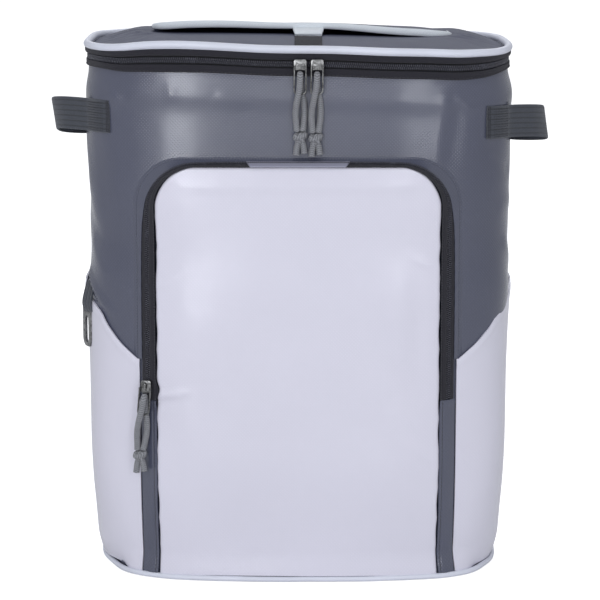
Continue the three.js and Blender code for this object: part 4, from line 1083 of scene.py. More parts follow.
def band_point(t, inset, raised):
    """A point of the zip's band: inset 0 on the body, 1 at the panel's edge."""
    x, z = arch_point(t, inset)
    inset = np.broadcast_to(inset, x.shape)
    stand = lerp(sewn_stand(), pocket_lift(x, z), ease(inset) * 0.5 + inset * 0.5)
    return skin().at(x, z, stand + raised)


arch_fold = (
    # along the arch, share of the band under the fold of the body, share of the corner's shape
    (0, 0.1, 0), (0.06, 0.1, 0), (0.2, 0.1, 0), (0.27, 0.18, 0.2), (0.31, 0.42, 0.7), (0.35, 0.62, 1),
    (0.39, 0.6, 1), (0.43, 0.42, 1), (0.5, 0.4, 1), (0.57, 0.42, 1), (0.61, 0.6, 1), (0.65, 0.62, 1),
    (0.69, 0.42, 0.7), (0.73, 0.18, 0.2), (0.8, 0.1, 0), (0.94, 0.1, 0), (1, 0.1, 0),
)


def fold_inset(t):
    """How far the fold of the body covers the zip's band."""
    return read_table(arch_fold, 1, t)


def tape_inset(t, share):
    """From a share of the tape seen to a share of the band: the outer tape closes at the corners."""
    corner = read_table(arch_fold, 2, t)
    outer = lerp(0.3, 0.04, corner)
    inner = lerp(0.62, 0.52, corner)
    low = share / 0.3 * outer
    middle = lerp(outer, inner, (share - 0.3) / 0.32)
    high = lerp(inner, 1, (share - 0.62) / 0.38)
    moved = np.where(share < 0.3, low, np.where(share < 0.62, middle, high))
    return lerp(fold_inset(t), 1, moved)


panel_dips = (
    # across, up, width, height, lift, in millimetres
    (-84, 120, 14, 30, 1.3), (92, 200, 10, 45, -0.9),
)
panel_puckers = (
    # side, height at the zip, width, lift, slope, where it starts and its blend, in millimetres
    (-1, 147, 3.2, 1.5, 0.12, 76, 26), (-1, 141, 4, -1.2, 0.12, 76, 26), (-1, 232, 4, 0.8, 0.5, 80, 24),
    (1, 246, 4, 0.9, -0.3, 78, 24), (1, 96, 6, 0.7, -0.6, 70, 30),
)
panel_roll, panel_wall, panel_edge = 3.4 * mm, 2 * mm, 105 * mm


def panel_relief(x, z, half, soft):
    """Slow folds, dips, the ridge under the top edge and the puckers at the zip."""
    folds = (
        0.9 * mm * np.sin(x * 22 + 0.5) * np.sin(z * 17 + 0.4)
        + 0.6 * mm * np.sin(x * 47 - z * 29 + 1.3) * np.sin(z * 21 + 0.4)
        + 0.35 * mm * np.sin(x * 71 + z * 53 + 0.2) * np.sin(z * 23)
    )
    for across, up, wide, tall, high in panel_dips:
        folds += high * mm * hump(x, across * mm, wide * mm) * hump(z, up * mm, tall * mm)
    folds += 1.0 * mm * hump(z, 309 * mm, 5 * mm) * ease((half - np.abs(x)) / (40 * mm))
    pucker = np.zeros_like(x)
    for side, up, wide, high, slope, start, blend in panel_puckers:
        fall = (x - side * panel_edge) * slope
        near = ease((side * x - start * mm) / (blend * mm))
        pucker += high * mm * hump(z - fall, up * mm, wide * mm) * near
    return folds * soft + pucker


def pocket_panel():
    """The white panel: crowned, with its edges turned under towards the zip."""
    size = sizes()
    gap = 0.4 * mm
    half = size.pocket_half - pocket_band - gap
    top = size.pocket_top - band_top - gap
    radius = pocket_corner - pocket_band * tightening - gap
    rows, turn_rows, columns = 150, 34, 150
    straight = np.linspace(pocket_foot, top - radius, rows)
    bend = top - radius + radius * np.sin(pi / 2 * np.linspace(0, 1, turn_rows + 1)[1:])
    z = np.concatenate((straight, bend))[:, None]
    over = np.maximum(0, z - (top - radius))
    reach = half - radius + np.sqrt(np.maximum(0, radius**2 - over**2))
    u = np.linspace(-1, 1, columns + 1)[None, :]
    u = np.sign(u) * (1 - (1 - np.abs(u)) ** 1.25)
    x = u * reach
    z = np.broadcast_to(z, x.shape)
    edge = np.minimum(reach - np.abs(x), top - z)
    rim = np.exp((np.abs(x) - reach) / (5 * mm))
    scallop = 0.45 * mm * np.sin(z * 165 + 1) + 0.35 * mm * np.sin(z * 71)
    pinch = 2.2 * mm * hump(z, 151 * mm, 5 * mm) * (x < 0) + 1.0 * mm * hump(z, 262 * mm, 4 * mm) * (x < 0)
    x = x - np.sign(x) * (np.abs(scallop) + pinch) * rim
    near_edge = np.clip(1 - edge / panel_roll, 0, 1)
    turned = panel_roll * 0.55 * (1 - np.sqrt(np.maximum(0, 1 - near_edge**2)))
    relief = panel_relief(x, z, half, ease(edge / (25 * mm)))
    lift = pocket_lift(x, z) - turned + relief * size.crease + foot_tuck(x, z)
    point = skin().at(x, z, lift)
    obj = drape("front_pocket_panel", point, np.stack((x, z), -1))
    wall(obj, panel_wall, 50)
    return put(obj, "white", "coated_white", "pocket_panel")


tooth_share, tooth_wide, tooth_high, tooth_round, tooth_side = 0.62, 2.5 * mm, 1.15 * mm, 0.28 * mm, 1.05 * mm


def zip_teeth(name, line, outs, gauge=1.0):
    """Two rows of coil teeth that mesh along a line."""
    pitch = sizes().tooth_pitch
    model = small_block(pitch * tooth_share, tooth_wide * gauge, tooth_high, tooth_round)
    rows = []
    for side, start in ((1, 0.0), (-1, pitch / 2)):
        place, axes = walk(line, outs, pitch, start)
        rows.append((place + axes[:, 1] * side * tooth_side * gauge, axes))
    obj = stamp(name, model, *(np.concatenate(part) for part in zip(*rows)))
    return put(obj, "coil", "zip_coil")


tape_shape = (
    # share of the tape seen, raised in millimetres
    (0.0, -0.4), (0.04, 0.3), (0.24, 0.5), (0.29, 0.5), (0.32, -0.5), (0.46, -0.9), (0.6, -0.5),
    (0.63, 0.6), (0.7, 0.75), (0.96, 0.55), (1.0, 0.35),
)
teeth_share, teeth_inset, scallop_share, zip_steps = 0.46, 0.515, 0.965, 900


def pocket_zip():
    """Tape, teeth and scalloped seam round the pocket's arch."""
    size = sizes()
    t = np.linspace(0, 1, 341)[None, :]
    share, raised = columns_of(tape_shape)
    raised = raised * mm
    inset = tape_inset(t + 0 * share, share + 0 * t)
    bump_end = hump(t, 0.016, 0.012) * ease((share - 0.6) / 0.4)
    point = band_point(t + 0 * share, inset + 0.17 * bump_end, raised + 0.6 * mm * bump_end)
    cloth_map = np.stack(np.broadcast_arrays(way_along(point[4])[None, :], share * pocket_band), -1)
    obj = drape("pocket_tape", point[::-1], cloth_map[::-1])
    wall(obj, size.cloth, 30)
    put(obj, "tape", "zip_tape", "pocket_zip_tape")
    fine = np.linspace(0, 1, zip_steps)
    outs = skin().normal(*arch_point(fine, teeth_inset))
    inset = tape_inset(fine, np.full(zip_steps, teeth_share))
    teeth = zip_teeth("pocket_teeth", band_point(fine, inset, 0.1 * mm), outs, 0.9)
    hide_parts("pocket_zip_chain")
    seam = band_point(fine, tape_inset(fine, np.full(zip_steps, scallop_share)), 0.7 * mm)
    stitches("pocket_scallops", [(seam, outs)], "dark_thread", 1.0 * mm, 0.5 * mm, 2.1 * mm)


hem_shape = (
    # offset from the arch's edge, share of the fold, raised in millimetres
    (-0.52, 0, -0.6), (-0.4, 0, 0.1), (-0.28, 0, 0.25), (-0.22, 0, 0.05), (-0.16, 0, 0.3),
    (-0.05, 0.2, 0.8), (-0.03, 0.85, 1.15), (0, 0.98, 0.9), (0.01, 1.0, 0.3), (0, 0.97, -0.5),
)
hem_start, hem_seam, hem_flat, hem_wall = 0.062, 0.22, 0.5, 0.7 * mm


def arch_hem():
    """The folded edge of the grey body along the pocket's zip, with its stitches."""
    t = np.linspace(hem_start, 1 - hem_start, 421)[None, :]
    offset, share, raised = columns_of(hem_shape)
    covered = offset + share * fold_inset(t)
    x, z = arch_point(t + 0 * offset, covered)
    base = sewn_stand()
    stand = np.where(
        covered < 0, base * ease(1 + covered / hem_flat),
        lerp(base, pocket_lift(x, z), ease(covered) * 0.5 + np.maximum(covered, 0) * 0.5),
    )
    wobble = 0.15 * mm * np.sin(t * 260) * (share > 0)
    bulge = body_bulge(x, z)
    point = skin().at(x, z, stand + raised * mm + wobble + bulge)
    obj = drape("arch_hem", point[::-1], np.stack((x, z), -1)[::-1])
    wall(obj, hem_wall, 60)
    put(obj, "grey", "coated_grey")
    fine = np.linspace(0.065, 0.935, zip_steps)
    x, z = arch_point(fine, np.full(zip_steps, -hem_seam))
    outs = skin().normal(x, z)
    path = skin().at(x, z, 2.1 * mm * ease(1 - hem_seam / hem_flat) + 0.2 * mm)
    stitches("hem_stitches", [(path, outs)], "grey_thread", 0.5 * mm, 0.35 * mm, 2.2 * mm)


def pocket_strip(side, name, node_name):
    """The grey strip under an end of the zip, folded and stitched along its inner edge."""
    size = sizes()
    columns, rows = 26, 90
    inset = np.linspace(0.02, 1, columns + 1)[None, :]
    v = np.linspace(0, 1, rows + 1)[:, None]
    z = lerp(pocket_foot, zip_end - 0.4 * mm, v)
    x = side * (size.pocket_half - pocket_band * inset)
    x, z = np.broadcast_arrays(x, z)
    stand = lerp(sewn_stand(), pocket_lift(x, z), inset)
    pleat = 0.8 * mm * np.abs(np.sin(z * 46 + inset * 2.2 * side)) * hump(z, 22 * mm, 26 * mm)
    swell = 0.5 * mm * np.sin(pi * inset) + 0.5 * mm * hump(z, zip_end - 3 * mm, 3 * mm)
    groove = 0.45 * mm * hump(inset, 0.84, 0.05)
    folded = (pleat + swell - groove) * ease((1 - inset) * 8 + 0.2)
    point = skin().at(x, z, stand + folded + foot_tuck(x, z))
    cloth_map = np.stack((x, z), -1)
    if side > 0:
        point, cloth_map = point[:, ::-1], cloth_map[:, ::-1]
    obj = drape(name, point, cloth_map)
    wall(obj, size.cloth)
    put(obj, "grey", "coated_grey", node_name)
    line = point[:, 4 if side > 0 else columns - 4]
    return line, skin().normal(side * size.pocket_half * np.ones(len(line)), line[:, 2])


top_strip_length, top_strip_wall = 79 * mm, 0.8 * mm


def pocket_top_strip():
    """The light strip over the middle of the pocket's zip."""
    size = sizes()
    across = 2 * (size.pocket_half - pocket_corner)
    span = (1 - 2 * arch_corner) * (top_strip_length / across)
    t = np.linspace(0.5 - span / 2, 0.5 + span / 2, 61)[None, :]
    inset = np.linspace(0.1, 0.97, 15)[:, None]
    roll = 0.7 * mm * (1 - (2 * (inset - 0.1) / 0.87 - 1) ** 4)
    point = band_point(t + 0 * inset, inset + 0 * t, 2.3 * mm + roll + 0 * t)
    obj = drape("pocket_zip_cover", point[::-1])
    wall(obj, top_strip_wall)
    return put(obj, "strip", "trim_strip", "pocket_top_strip")


# Lid
tape_low, tape_high = -3.1 * mm, 2.6 * mm
chain_low = tape_high + 0.4 * mm
chain_middle = chain_low + 2.8 * mm
band_low = chain_low + 6 * mm
band_high = band_low + 5.1 * mm
zip_share = 0.8


def rim_path(from_share, to_share, count):
    half = float(skin().girth(sizes().body_height))
    return np.linspace(from_share * half, to_share * half, count)


rim_steps, zip_ends = 640, (-zip_share, zip_share)


def rim_tube(name, profile, closed, shares=(-1, 1), middle=None):
    """A profile of (out, height) points carried round the rim, squeezed unless it has a middle."""
    length = rim_path(*shares, rim_steps + 1)
    if closed:
        length = length[:-1]
    centre = on_rim(length, middle or 0.0, 0.0)
    z = sizes().body_height * np.ones_like(length)
    outs = skin().normal(length, z, True)
    ups = np.outer(rim_squeeze(length) if middle is None else np.ones(len(length)), upwards)
    obj = tube(name, centre, ups, outs, profile, closed=closed)
    smooth(obj, 60)
    return obj


def rim_line(length, height, out):
    """A line round the rim and the ways out of it."""
    outs = skin().normal(length, sizes().body_height * np.ones_like(length), True)
    return on_rim(length, height, out), outs


def lid_rings():
    """Lower tape, teeth, dark band and white piping round the lid."""
    size = sizes()
    lower = soft_box(0.4 * mm, 1.55 * mm, tape_low, tape_high + 0.1 * mm, 0.35 * mm)
    put(rim_tube("lid_lower_tape", lower, False, zip_ends), "tape", "zip_tape", "lid_zip_tape")
    # the backing behind the lid's teeth is near black: painted shade of the zip's groove over the tape that
    # lies there
    groove_shade_backing = soft_box(-3.4 * mm, -0.2 * mm, chain_low - 0.2 * mm, chain_low + 5.8 * mm, 0.4 * mm)
    put(rim_tube("lid_tape_channel", groove_shade_backing, False, zip_ends), "channel", "zip_tape", "lid_zip_chain")
    dark = np.array((
        (-1.5, 0.1), (1.2, 0), (2.1, 0.4), (2.5, 1.4), (2.6, 3.4), (2.4, 4.9), (1.6, 5.0), (-1.5, 5.0),
    )) * mm + (0, band_low)
    put(rim_tube("lid_dark_band", dark, True), "tape", "zip_tape", "lid_band")
    centre_up = band_high - 0.1 * mm + size.piping
    cover = round_profile(size.piping, 16) + (0.7 * mm, 0)
    put(rim_tube("lid_welt", cover, True, middle=centre_up), "piping", "piping", "lid_piping")
    flange = soft_box(-1.5 * mm, 1.9 * mm, -0.9 * mm, 0.5 * mm, 0.3 * mm)
    put(rim_tube("lid_welt_flange", flange, True, middle=band_high), "piping", "piping")
    zip_teeth("lid_teeth", *rim_line(rim_path(*zip_ends, 1600), chain_middle, 0.35 * mm))
    seam = rim_line(rim_path(*zip_ends, 1200), tape_low + 0.9 * mm, 1.6 * mm)
    stitches("lid_stitches", [seam], "dark_thread")
    hinge = rim_path(zip_share, 2 - zip_share, 121)[1:-1]
    centre, outs = rim_line(hinge, 0.0, 0.0)
    path = centre, np.outer(rim_squeeze(hinge), upwards), outs
    profile = soft_box(0.4 * mm, 1.8 * mm, tape_low, chain_low + 5.6 * mm, 0.5 * mm)
    band("lid_back_hinge", path, profile, "grey", "coated_grey", "lid_hinge", angle=60)


def lid_top(x, y):
    """Height of the lid's padded top."""
    size = sizes()
    half = size.body_depth / 2
    front = ease((y + half) / (85 * mm))
    rear = ease((half - y) / (30 * mm))
    side = ease((size.body_width / 2 - np.abs(x)) / (40 * mm))
    edge = size.body_height + band_high + 1.6 * mm
    return edge + warp(x, y) + size.crown * front * rear * side


def lid_wrinkles(x, y):
    """Wrinkles that fan out from the flap's ends and soft bumps along the front."""
    lift = np.zeros_like(x)
    for side, px, py in ((-1, -112, -6), (1, 119, -6)):
        dx, dy = side * (x - px * mm), y - py * mm
        far = np.hypot(dx, dy)
        turn = np.arctan2(dy, dx + 14 * mm)
        ribs = np.sin(turn * 17 + far * 60) + 0.5 * np.sin(turn * 31 - far * 45)
        near = ease(far / (18 * mm)) * ease((62 * mm - far) / (40 * mm))
        lift += 0.75 * mm * ribs * near * ease(dx / (12 * mm) + 0.6)
    bumps = np.sin(x * 43 + 1.0) * np.sin(y * 61 + 0.5) + 0.6 * np.sin(x * 88 + y * 40)
    lift += 0.7 * mm * bumps * hump(y, -70 * mm, 26 * mm)
    lift -= 1.2 * mm * hump(x, -37 * mm, 9 * mm) * hump(y, -80 * mm, 9 * mm)
    return lift


def lid_panel():
    """The padded top of the lid inside its piping."""
    size = sizes()
    z = size.body_height
    half = float(skin().girth(z))
    length = np.linspace(-half, half, 421)[None, :]
    rim = skin().at(length[0], z * np.ones(421), -2.2 * mm, True)
    ring = 1 - np.linspace(0, 1, 66)[:, None] ** 1.15
    x, y = rim[:, 0][None] * ring, rim[:, 1][None] * ring
    edge = (1 - ring) * size.body_depth / 2
    height = lid_top(x, y) + lid_wrinkles(x, y) * ease(edge / (14 * mm)) * size.crease
    height += rim_wave(length) * ease(1 - edge / (55 * mm))
    height -= 1.2 * mm * (1 - ease(edge / (3 * mm)))
    point = np.stack((x, y, height), -1)
    obj = drape("lid_top_panel", point, np.stack((x, y), -1))
    merge(obj)
    wall(obj, lid_wall)
    put(obj, "lid", "coated_grey", "lid_panel")


flap_front, flap_centre, flap_corner, flap_binding = -15 * mm, 3 * mm, 22 * mm, 2.7 * mm
pull_offset = 8 * mm


def flap_height(x, y):
    """Height of the flap's edge over the lid."""
    size = sizes()
    t = np.clip((y - flap_front) / size.flap_length, 0, 1)
    right = ease((x - flap_centre) / (size.flap_width / 2))
    front = lerp(6.6 * mm, 3.6 * mm, right)
    ends = 1.3 * mm * ease((np.abs(x - flap_centre) - 88 * mm) / (30 * mm))
    return lid_top(x, y) + lerp(front, 4.4 * mm, ease(t)) - ends


cushion_inset, cushion_rise, cushion_wall = 0.7, 1.8 * mm, 3.8 * mm
binding_inset, binding_tall = 0.45, 1.06


def flap_cushion():
    """The padded access flap, with round front corners."""
    size = sizes()
    inset = flap_binding * cushion_inset
    half = size.flap_width / 2
    radius = flap_corner - inset
    turn = pi / 2 * np.linspace(0, 1, 13)
    y = flap_front + flap_corner - radius * np.cos(turn)
    reach = half - flap_corner + radius * np.sin(turn)
    y = np.concatenate((y, np.linspace(flap_front + flap_corner, flap_front + size.flap_length, 26)[1:]))
    reach = np.concatenate((reach, np.full(25, half - inset)))
    x = flap_centre + np.linspace(-1, 1, 101)[None, :] * reach[:, None]
    y = np.broadcast_to(y[:, None], x.shape)
    puff = 0.8 * mm * np.sin(x * 31 + 0.4) * np.sin(y * 44)
    edge = np.minimum(reach[:, None] - np.abs(x - flap_centre), y - flap_front)
    point = np.stack((x, y, flap_height(x, y) + cushion_rise + puff * ease(edge / (20 * mm))), -1)
    obj = drape("flap_cushion", point, np.stack((x, y), -1))
    wall(obj, cushion_wall)
    put(obj, "lid", "coated_grey", "access_flap")


def flap_edge():
    """The binding along the sides and the front of the flap."""
    size = sizes()
    half = size.flap_width / 2
    inset = flap_binding * binding_inset
    radius = flap_corner - inset
    rear = flap_front + size.flap_length
    corner = pi / 2 * np.linspace(0, 1, 22)[::-1]
    left_x = flap_centre - (half - flap_corner) - radius * np.sin(corner)
    corner_y = flap_front + flap_corner - radius * np.cos(corner)
    side_y = np.linspace(rear, flap_front + flap_corner, 60)[:-1]
    straight = np.linspace(flap_centre - half + flap_corner, flap_centre + half - flap_corner, 140)[1:-1]
    path_x = np.concatenate((
        np.full(59, flap_centre - half + inset), left_x, straight, 2 * flap_centre - left_x[::-1],
        np.full(59, flap_centre + half - inset),
    ))
    path_y = np.concatenate((
        side_y, corner_y, np.full(len(straight), flap_front + inset), corner_y[::-1], side_y[::-1],
    ))
    wave = 0.35 * mm * np.sin(path_x * 70 + path_y * 40)
    centre = np.stack((path_x, path_y, flap_height(path_x, path_y) + 0.1 * mm + wave), -1)
    full = lerp(0.62, 1.0, ease((flap_front + 26 * mm - path_y) / (24 * mm)))
    slim = 1 - 0.18 * hump(path_x, 5 * mm, 45 * mm)
    tall = flap_binding * binding_tall
    profile = [
        (tall * 0.62 * cos(a) * (1.15 if cos(a) > 0 else 0.7), tall * sin(a))
        for a in np.linspace(0, 2 * pi, 20, endpoint=False)
    ]
    path = centre, np.outer(full * slim, upwards), outward(centre, upwards)
    band("flap_edge_binding", path, profile, "binding", "binding", "flap_binding", angle=60)


tab_course = (
    # forward of the flap's edge, below it, in millimetres
    (-4, 1.2), (0, 2.2), (4, 2.9), (9, 3.4), (14, 4.2), (18, 5.2), (19.5, 5.9),
)
tab_half_width, tab_half_thick = 12.5 * mm, 1.1 * mm


def flap_tab():
    """The pull tab that comes out from under the flap's binding."""
    count = 60
    z = float(flap_height(np.array(pull_offset), np.array(flap_front)))
    route = [(pull_offset, flap_front - ahead * mm, z - below * mm) for ahead, below in tab_course]
    centre = smooth_path(route, count)
    centre[:, 2] += 0.2 * mm * np.sin(np.linspace(0, 9, count))
    path = centre, np.outer(np.linspace(1.0, 0.84, count), sideways), outward(centre, sideways)
    profile = soft_box(-tab_half_thick, tab_half_thick, -tab_half_width, tab_half_width, 0.8 * mm)
    band("flap_tab", path, profile, "binding", "binding", "flap_pull_tab")


patch_half_width, patch_front, patch_rear = 10.25 * mm, -88 * mm, -42 * mm
patch_rise, patch_wall = 1.5 * mm, 1.2 * mm


def hook_patch():
    """The patch of hook tape under the pull tab, with its fuzz."""
    size = sizes()
    x = pull_offset + np.linspace(-patch_half_width, patch_half_width, 42)[None, :]
    y = np.linspace(patch_front, patch_rear, 92)[:, None]
    x, y = np.broadcast_arrays(x, y)
    fuzz = 0.25 * mm * np.sin(x * 2900) * np.sin(y * 2700)
    settled = rim_wave(x) * ease(1 - (y + size.body_depth / 2) / (55 * mm))
    height = lid_top(x, y) + lid_wrinkles(x, y) * size.crease * 0.6 + settled + patch_rise + fuzz
    patch = drape("hook_fastener", np.stack((x, y, height), -1))
    wall(patch, patch_wall)
    put(patch, "tape", "zip_tape", "hook_patch")


# Webbing
def ribbed_strap(width, thickness, ribs=12):
    """A flat strap's profile, ribbed along its faces, as (out, up) points."""
    up = np.linspace(-0.5, 0.5, ribs * 5 + 1)
    rib = 0.2 * np.abs(np.sin(up * pi * ribs))
    edge = np.sqrt(np.clip((0.5 - np.abs(up)) / 0.04, 0, 1))
    face = thickness / 2 * (0.84 + rib) * (0.35 + 0.65 * edge)
    front = np.stack((face, up * width), -1)
    back = np.stack((-face[::-1], up[::-1] * width), -1)
    return np.concatenate((front, back[1:-1]))


handle_start, handle_z, handle_rear_drop = 151 * mm, 358 * mm, 7 * mm
handle_course = (
    # run, out, sag
    (-0.22, 0, 0), (0, 0, 0), (0.18, 0, 0), (0.36, 0, 0), (0.54, 0, 0), (0.76, 0.04, 0), (1.1, 0.3, 0),
    (1.5, 0.72, 0.05), (1.85, 0.96, 0.2), (2.15, 1, 0.45), (2.45, 0.88, 0.7), (2.85, 0.45, 0.9),
    (3.3, 0.04, 1), (4, 0, 1),
)
# side: share of the stand, rise, lean of its lower edge outwards
handle_hang = {-1: (0.86, 1.2 * mm, -0.2), 1: (0.9, -0.4 * mm, 0.2)}


def side_handle(side, name, node_name):
    """A webbing loop, and the paths of the stitches that hold its front end."""
    size = sizes()
    share, rise, lean = handle_hang[side]
    count = 170
    points, leans = [], []
    for run, out, sag in handle_course:
        s = np.array([side * (handle_start + run * size.handle_stand)])
        z = np.array([handle_z])
        full = body_bulge(s, z)[0]
        point = skin().at(s, z, 1.3 * mm + full + out * size.handle_stand * share, True)[0]
        sewn = skin().at(s, z, 0.0, True)[0]
        point[2] = handle_z + warp(sewn[0], sewn[1]) * 0.8 - sag * handle_rear_drop + rise * out
        points.append(point)
        leans.append(out * lean)
    centre = smooth_path(points, count)
    leans = np.interp(np.linspace(0, 1, count), np.linspace(0, 1, len(leans)), leans)
    outs = outward(centre, upwards) * side
    ups = np.tile(upwards, (count, 1)) - outs * leans[:, None]
    centre[:, 2] += 0.35 * mm * np.sin(np.linspace(0, 7, count))
    profile = ribbed_strap(size.webbing, 1.9 * mm, 13)
    band(name, (centre, ups, outs), profile, "webbing", "webbing", node_name)
    step = np.linalg.norm(np.diff(centre, axis=0), axis=1).mean()
    first, last = int(6 * mm / step), int(27 * mm / step)
    grid = []
    for up in np.arange(-11, 11.1, 1.9):
        k = slice(first, last)
        grid.append((centre[k] + ups[k] * up * mm + outs[k] * 1.05 * mm, outs[k]))
    bars = []
    for k in (1, 3):
        line = centre[k] + np.outer(np.linspace(-12, 12, 20) * mm, upwards) + outs[k] * 0.9 * mm
        bars.append((line, np.tile(outs[k], (20, 1))))
    return grid, bars


def side_handles():
    left = side_handle(-1, "left_grab_handle", "side_handle_left")
    right = side_handle(1, "right_grab_handle", "side_handle_right")
    stitches("handle_grid", left[0] + right[0], "dark_thread", 0.8 * mm, 0.3 * mm, 1.9 * mm, 0.45)
    stitches("handle_bars", left[1] + right[1], "dark_thread", 0.9 * mm, 0.5 * mm, 2.4 * mm, 0.9)


gear_side, gear_foot, gear_head = -181 * mm, 203.5 * mm, 228 * mm
gear_seat, gear_turn = -1.6 * mm, radians(28)
opener_shift, opener_turn = (4.6 * mm, -1.5 * mm, 0.0), radians(16)


def skin_frame(s, z, out):
    """An upright frame on the skin: origin, along, up and out."""
    s, z = np.array([s]), np.array([z])
    normal = skin().normal(s, z, True)[0]
    up = np.array(upwards)
    along = np.cross(up, normal)
    return skin().at(s, z, out, True)[0], along, up, normal


def in_frame(base, p, q, r):
    origin, along, up, normal = base
    return origin + along * p + up * q + normal * r


def turned_frame(base, angle):
    """The same frame, turned about its upright axis."""
    origin, along, up, normal = base
    return origin, along * cos(angle) - normal * sin(angle), up, normal * cos(angle) + along * sin(angle)


def gear_loop():
    """The webbing loop that holds the opener."""
    base = turned_frame(skin_frame(gear_side, gear_foot, gear_seat), gear_turn)
    tall = (gear_head - gear_foot) / mm
    t, stand = 1.6, 7.6
    route = (
        (tall, t / 2), (tall * 0.6, t / 2 + 0.3), (tall * 0.3, t / 2 + 0.6), (1.6, t / 2 + 1.2),
        (0, t / 2 + 2.6), (0, stand - 2.8), (2, stand - 1.2), (tall * 0.3, stand),
        (tall * 0.62, stand - 1.8), (tall, t * 1.5 + 0.3),
    )
    centre = smooth_path([in_frame(base, 0, q * mm, r * mm) for q, r in route], 70)
    ups = np.tile(base[1], (70, 1))
    path = centre, ups, outward(centre, ups)
    profile = ribbed_strap(12 * mm, 1.5 * mm, 6)
    band("gear_loop_webbing", path, profile, "webbing", "webbing", "gear_loop")


def bottle_opener():
    """The metal plate, shifted and turned in its loop."""
    opener = dressed_copy("bottle_opener", "opener_plate", 0.45 * mm, 3)
    middle = sum((Vector(corner) for corner in opener.bound_box), Vector()) / 8
    turn = Matrix.Rotation(opener_turn, 4, "Z")
    shift = Matrix.Translation(middle + Vector(opener_shift))
    opener.data.transform(shift @ turn @ Matrix.Translation(-middle))
    put(opener, "metal", "metal", "bottle_opener")


# Zip pulls
slider_spots = {"left": pull_offset - 6.4 * mm, "right": pull_offset + 6.4 * mm}
pocket_slider_rise, pocket_slider_stand, lid_slider_stand = 11 * mm, 3.3 * mm, 2.9 * mm
cord_route = (
    # across, up and out of the middle of the slider's base, in millimetres
    (1.9, -50, 1.9), (2.6, -45, 0.8), (3.3, -36, -0.1), (2.6, -27, 0), (1, -20, 0.4),
    (0.2, -13, 0.9), (0, -9.4, 1.2), (0, -7.4, 2.3), (0, -6.9, 3.6), (0, -7.4, 4.9),
    (0, -9.4, 6), (-0.2, -13, 6.4), (-0.8, -19, 6.6), (-2, -25, 6), (-3.3, -33, 3.6),
    (-3.4, -40, 2.2), (-2.7, -46, 1.9), (-2.4, -50, 1.9),
)
# where: drop in millimetres, lean, raised in millimetres
cord_fall = {"left": (50, 0, 0), "right": (51, 0.02, 0), "pocket": (49, 0.1, 0.4)}


def pull_node(stem, part, where):
    """The node of a part of a zip pull: only the lid's have a side."""
    return f"{stem}_{part}" if where == "pocket" else f"{stem}_{part}_{where}"


def slider_sag(where):
    """How far the rim hangs below its plain line at a slider."""
    return 0.0 if where == "pocket" else float(rim_wave(np.array(slider_spots[where])))


def slider_base(where):
    """The frame at the middle of a slider's base."""
    size = sizes()
    if where == "pocket":
        z = zip_end + pocket_slider_rise
        x = -(size.pocket_half - pocket_band / 2)
        lift = float(pocket_lift(np.array(x + pocket_band / 2), np.array(z)))
        return skin_frame(x, z, (sewn_stand() + lift) / 2 + pocket_slider_stand)
    x = slider_spots[where]
    z = size.body_height + chain_middle + float(warp(x, -size.body_depth / 2))
    return skin_frame(x, z + slider_sag(where), lid_slider_stand)


def cord_points(where):
    base = slider_base(where)
    drop, lean, raised = cord_fall[where]
    points = []
    for p, q, r in cord_route:
        down = q * drop / 50 - raised * 2
        points.append(in_frame(base, (p + lean * down) * mm, down * mm, (r + raised) * mm))
    return points


plait_pitch, plait_depth, plait_turns = 2.1 * mm, 0.06, 4


def pull_cord(where, stem):
    """A cord that loops through the puller, with its knot and tails."""
    size = sizes()
    count = 260
    centre = smooth_path(cord_points(where), count)
    along = unit(np.gradient(centre, axis=0))
    ups = np.tile(slider_base(where)[1], (count, 1))
    ups = unit(ups - along * np.sum(ups * along, axis=1, keepdims=True))
    outs = np.cross(ups, along)
    sides = 20
    way = np.linspace(0, way_along(centre)[-1], count)
    lift = way[None, :] * 2 * pi / plait_pitch
    turn = np.linspace(0, 2 * pi, sides + 1)[:, None] * plait_turns
    plait = np.maximum(np.sin(lift + turn), np.sin(lift - turn))
    radii = size.cord / 2 * (0.96 + plait_depth * plait)
    obj = round_skin(f"{stem}_cord_loop", (centre, ups, outs), way, radii, sides)
    seal(obj)
    smooth(obj, 60)
    put(obj, "cord", "cord", pull_node(stem, "pull_cord", where))
    knot = cord_knot(where, stem)


knot_drop, knot_out = 4.4, 1.9
knot_wide, knot_tall, knot_deep = 1.12, 0.92, 1.2
tail_reach = {-1: 9.4, 1: 8.2}


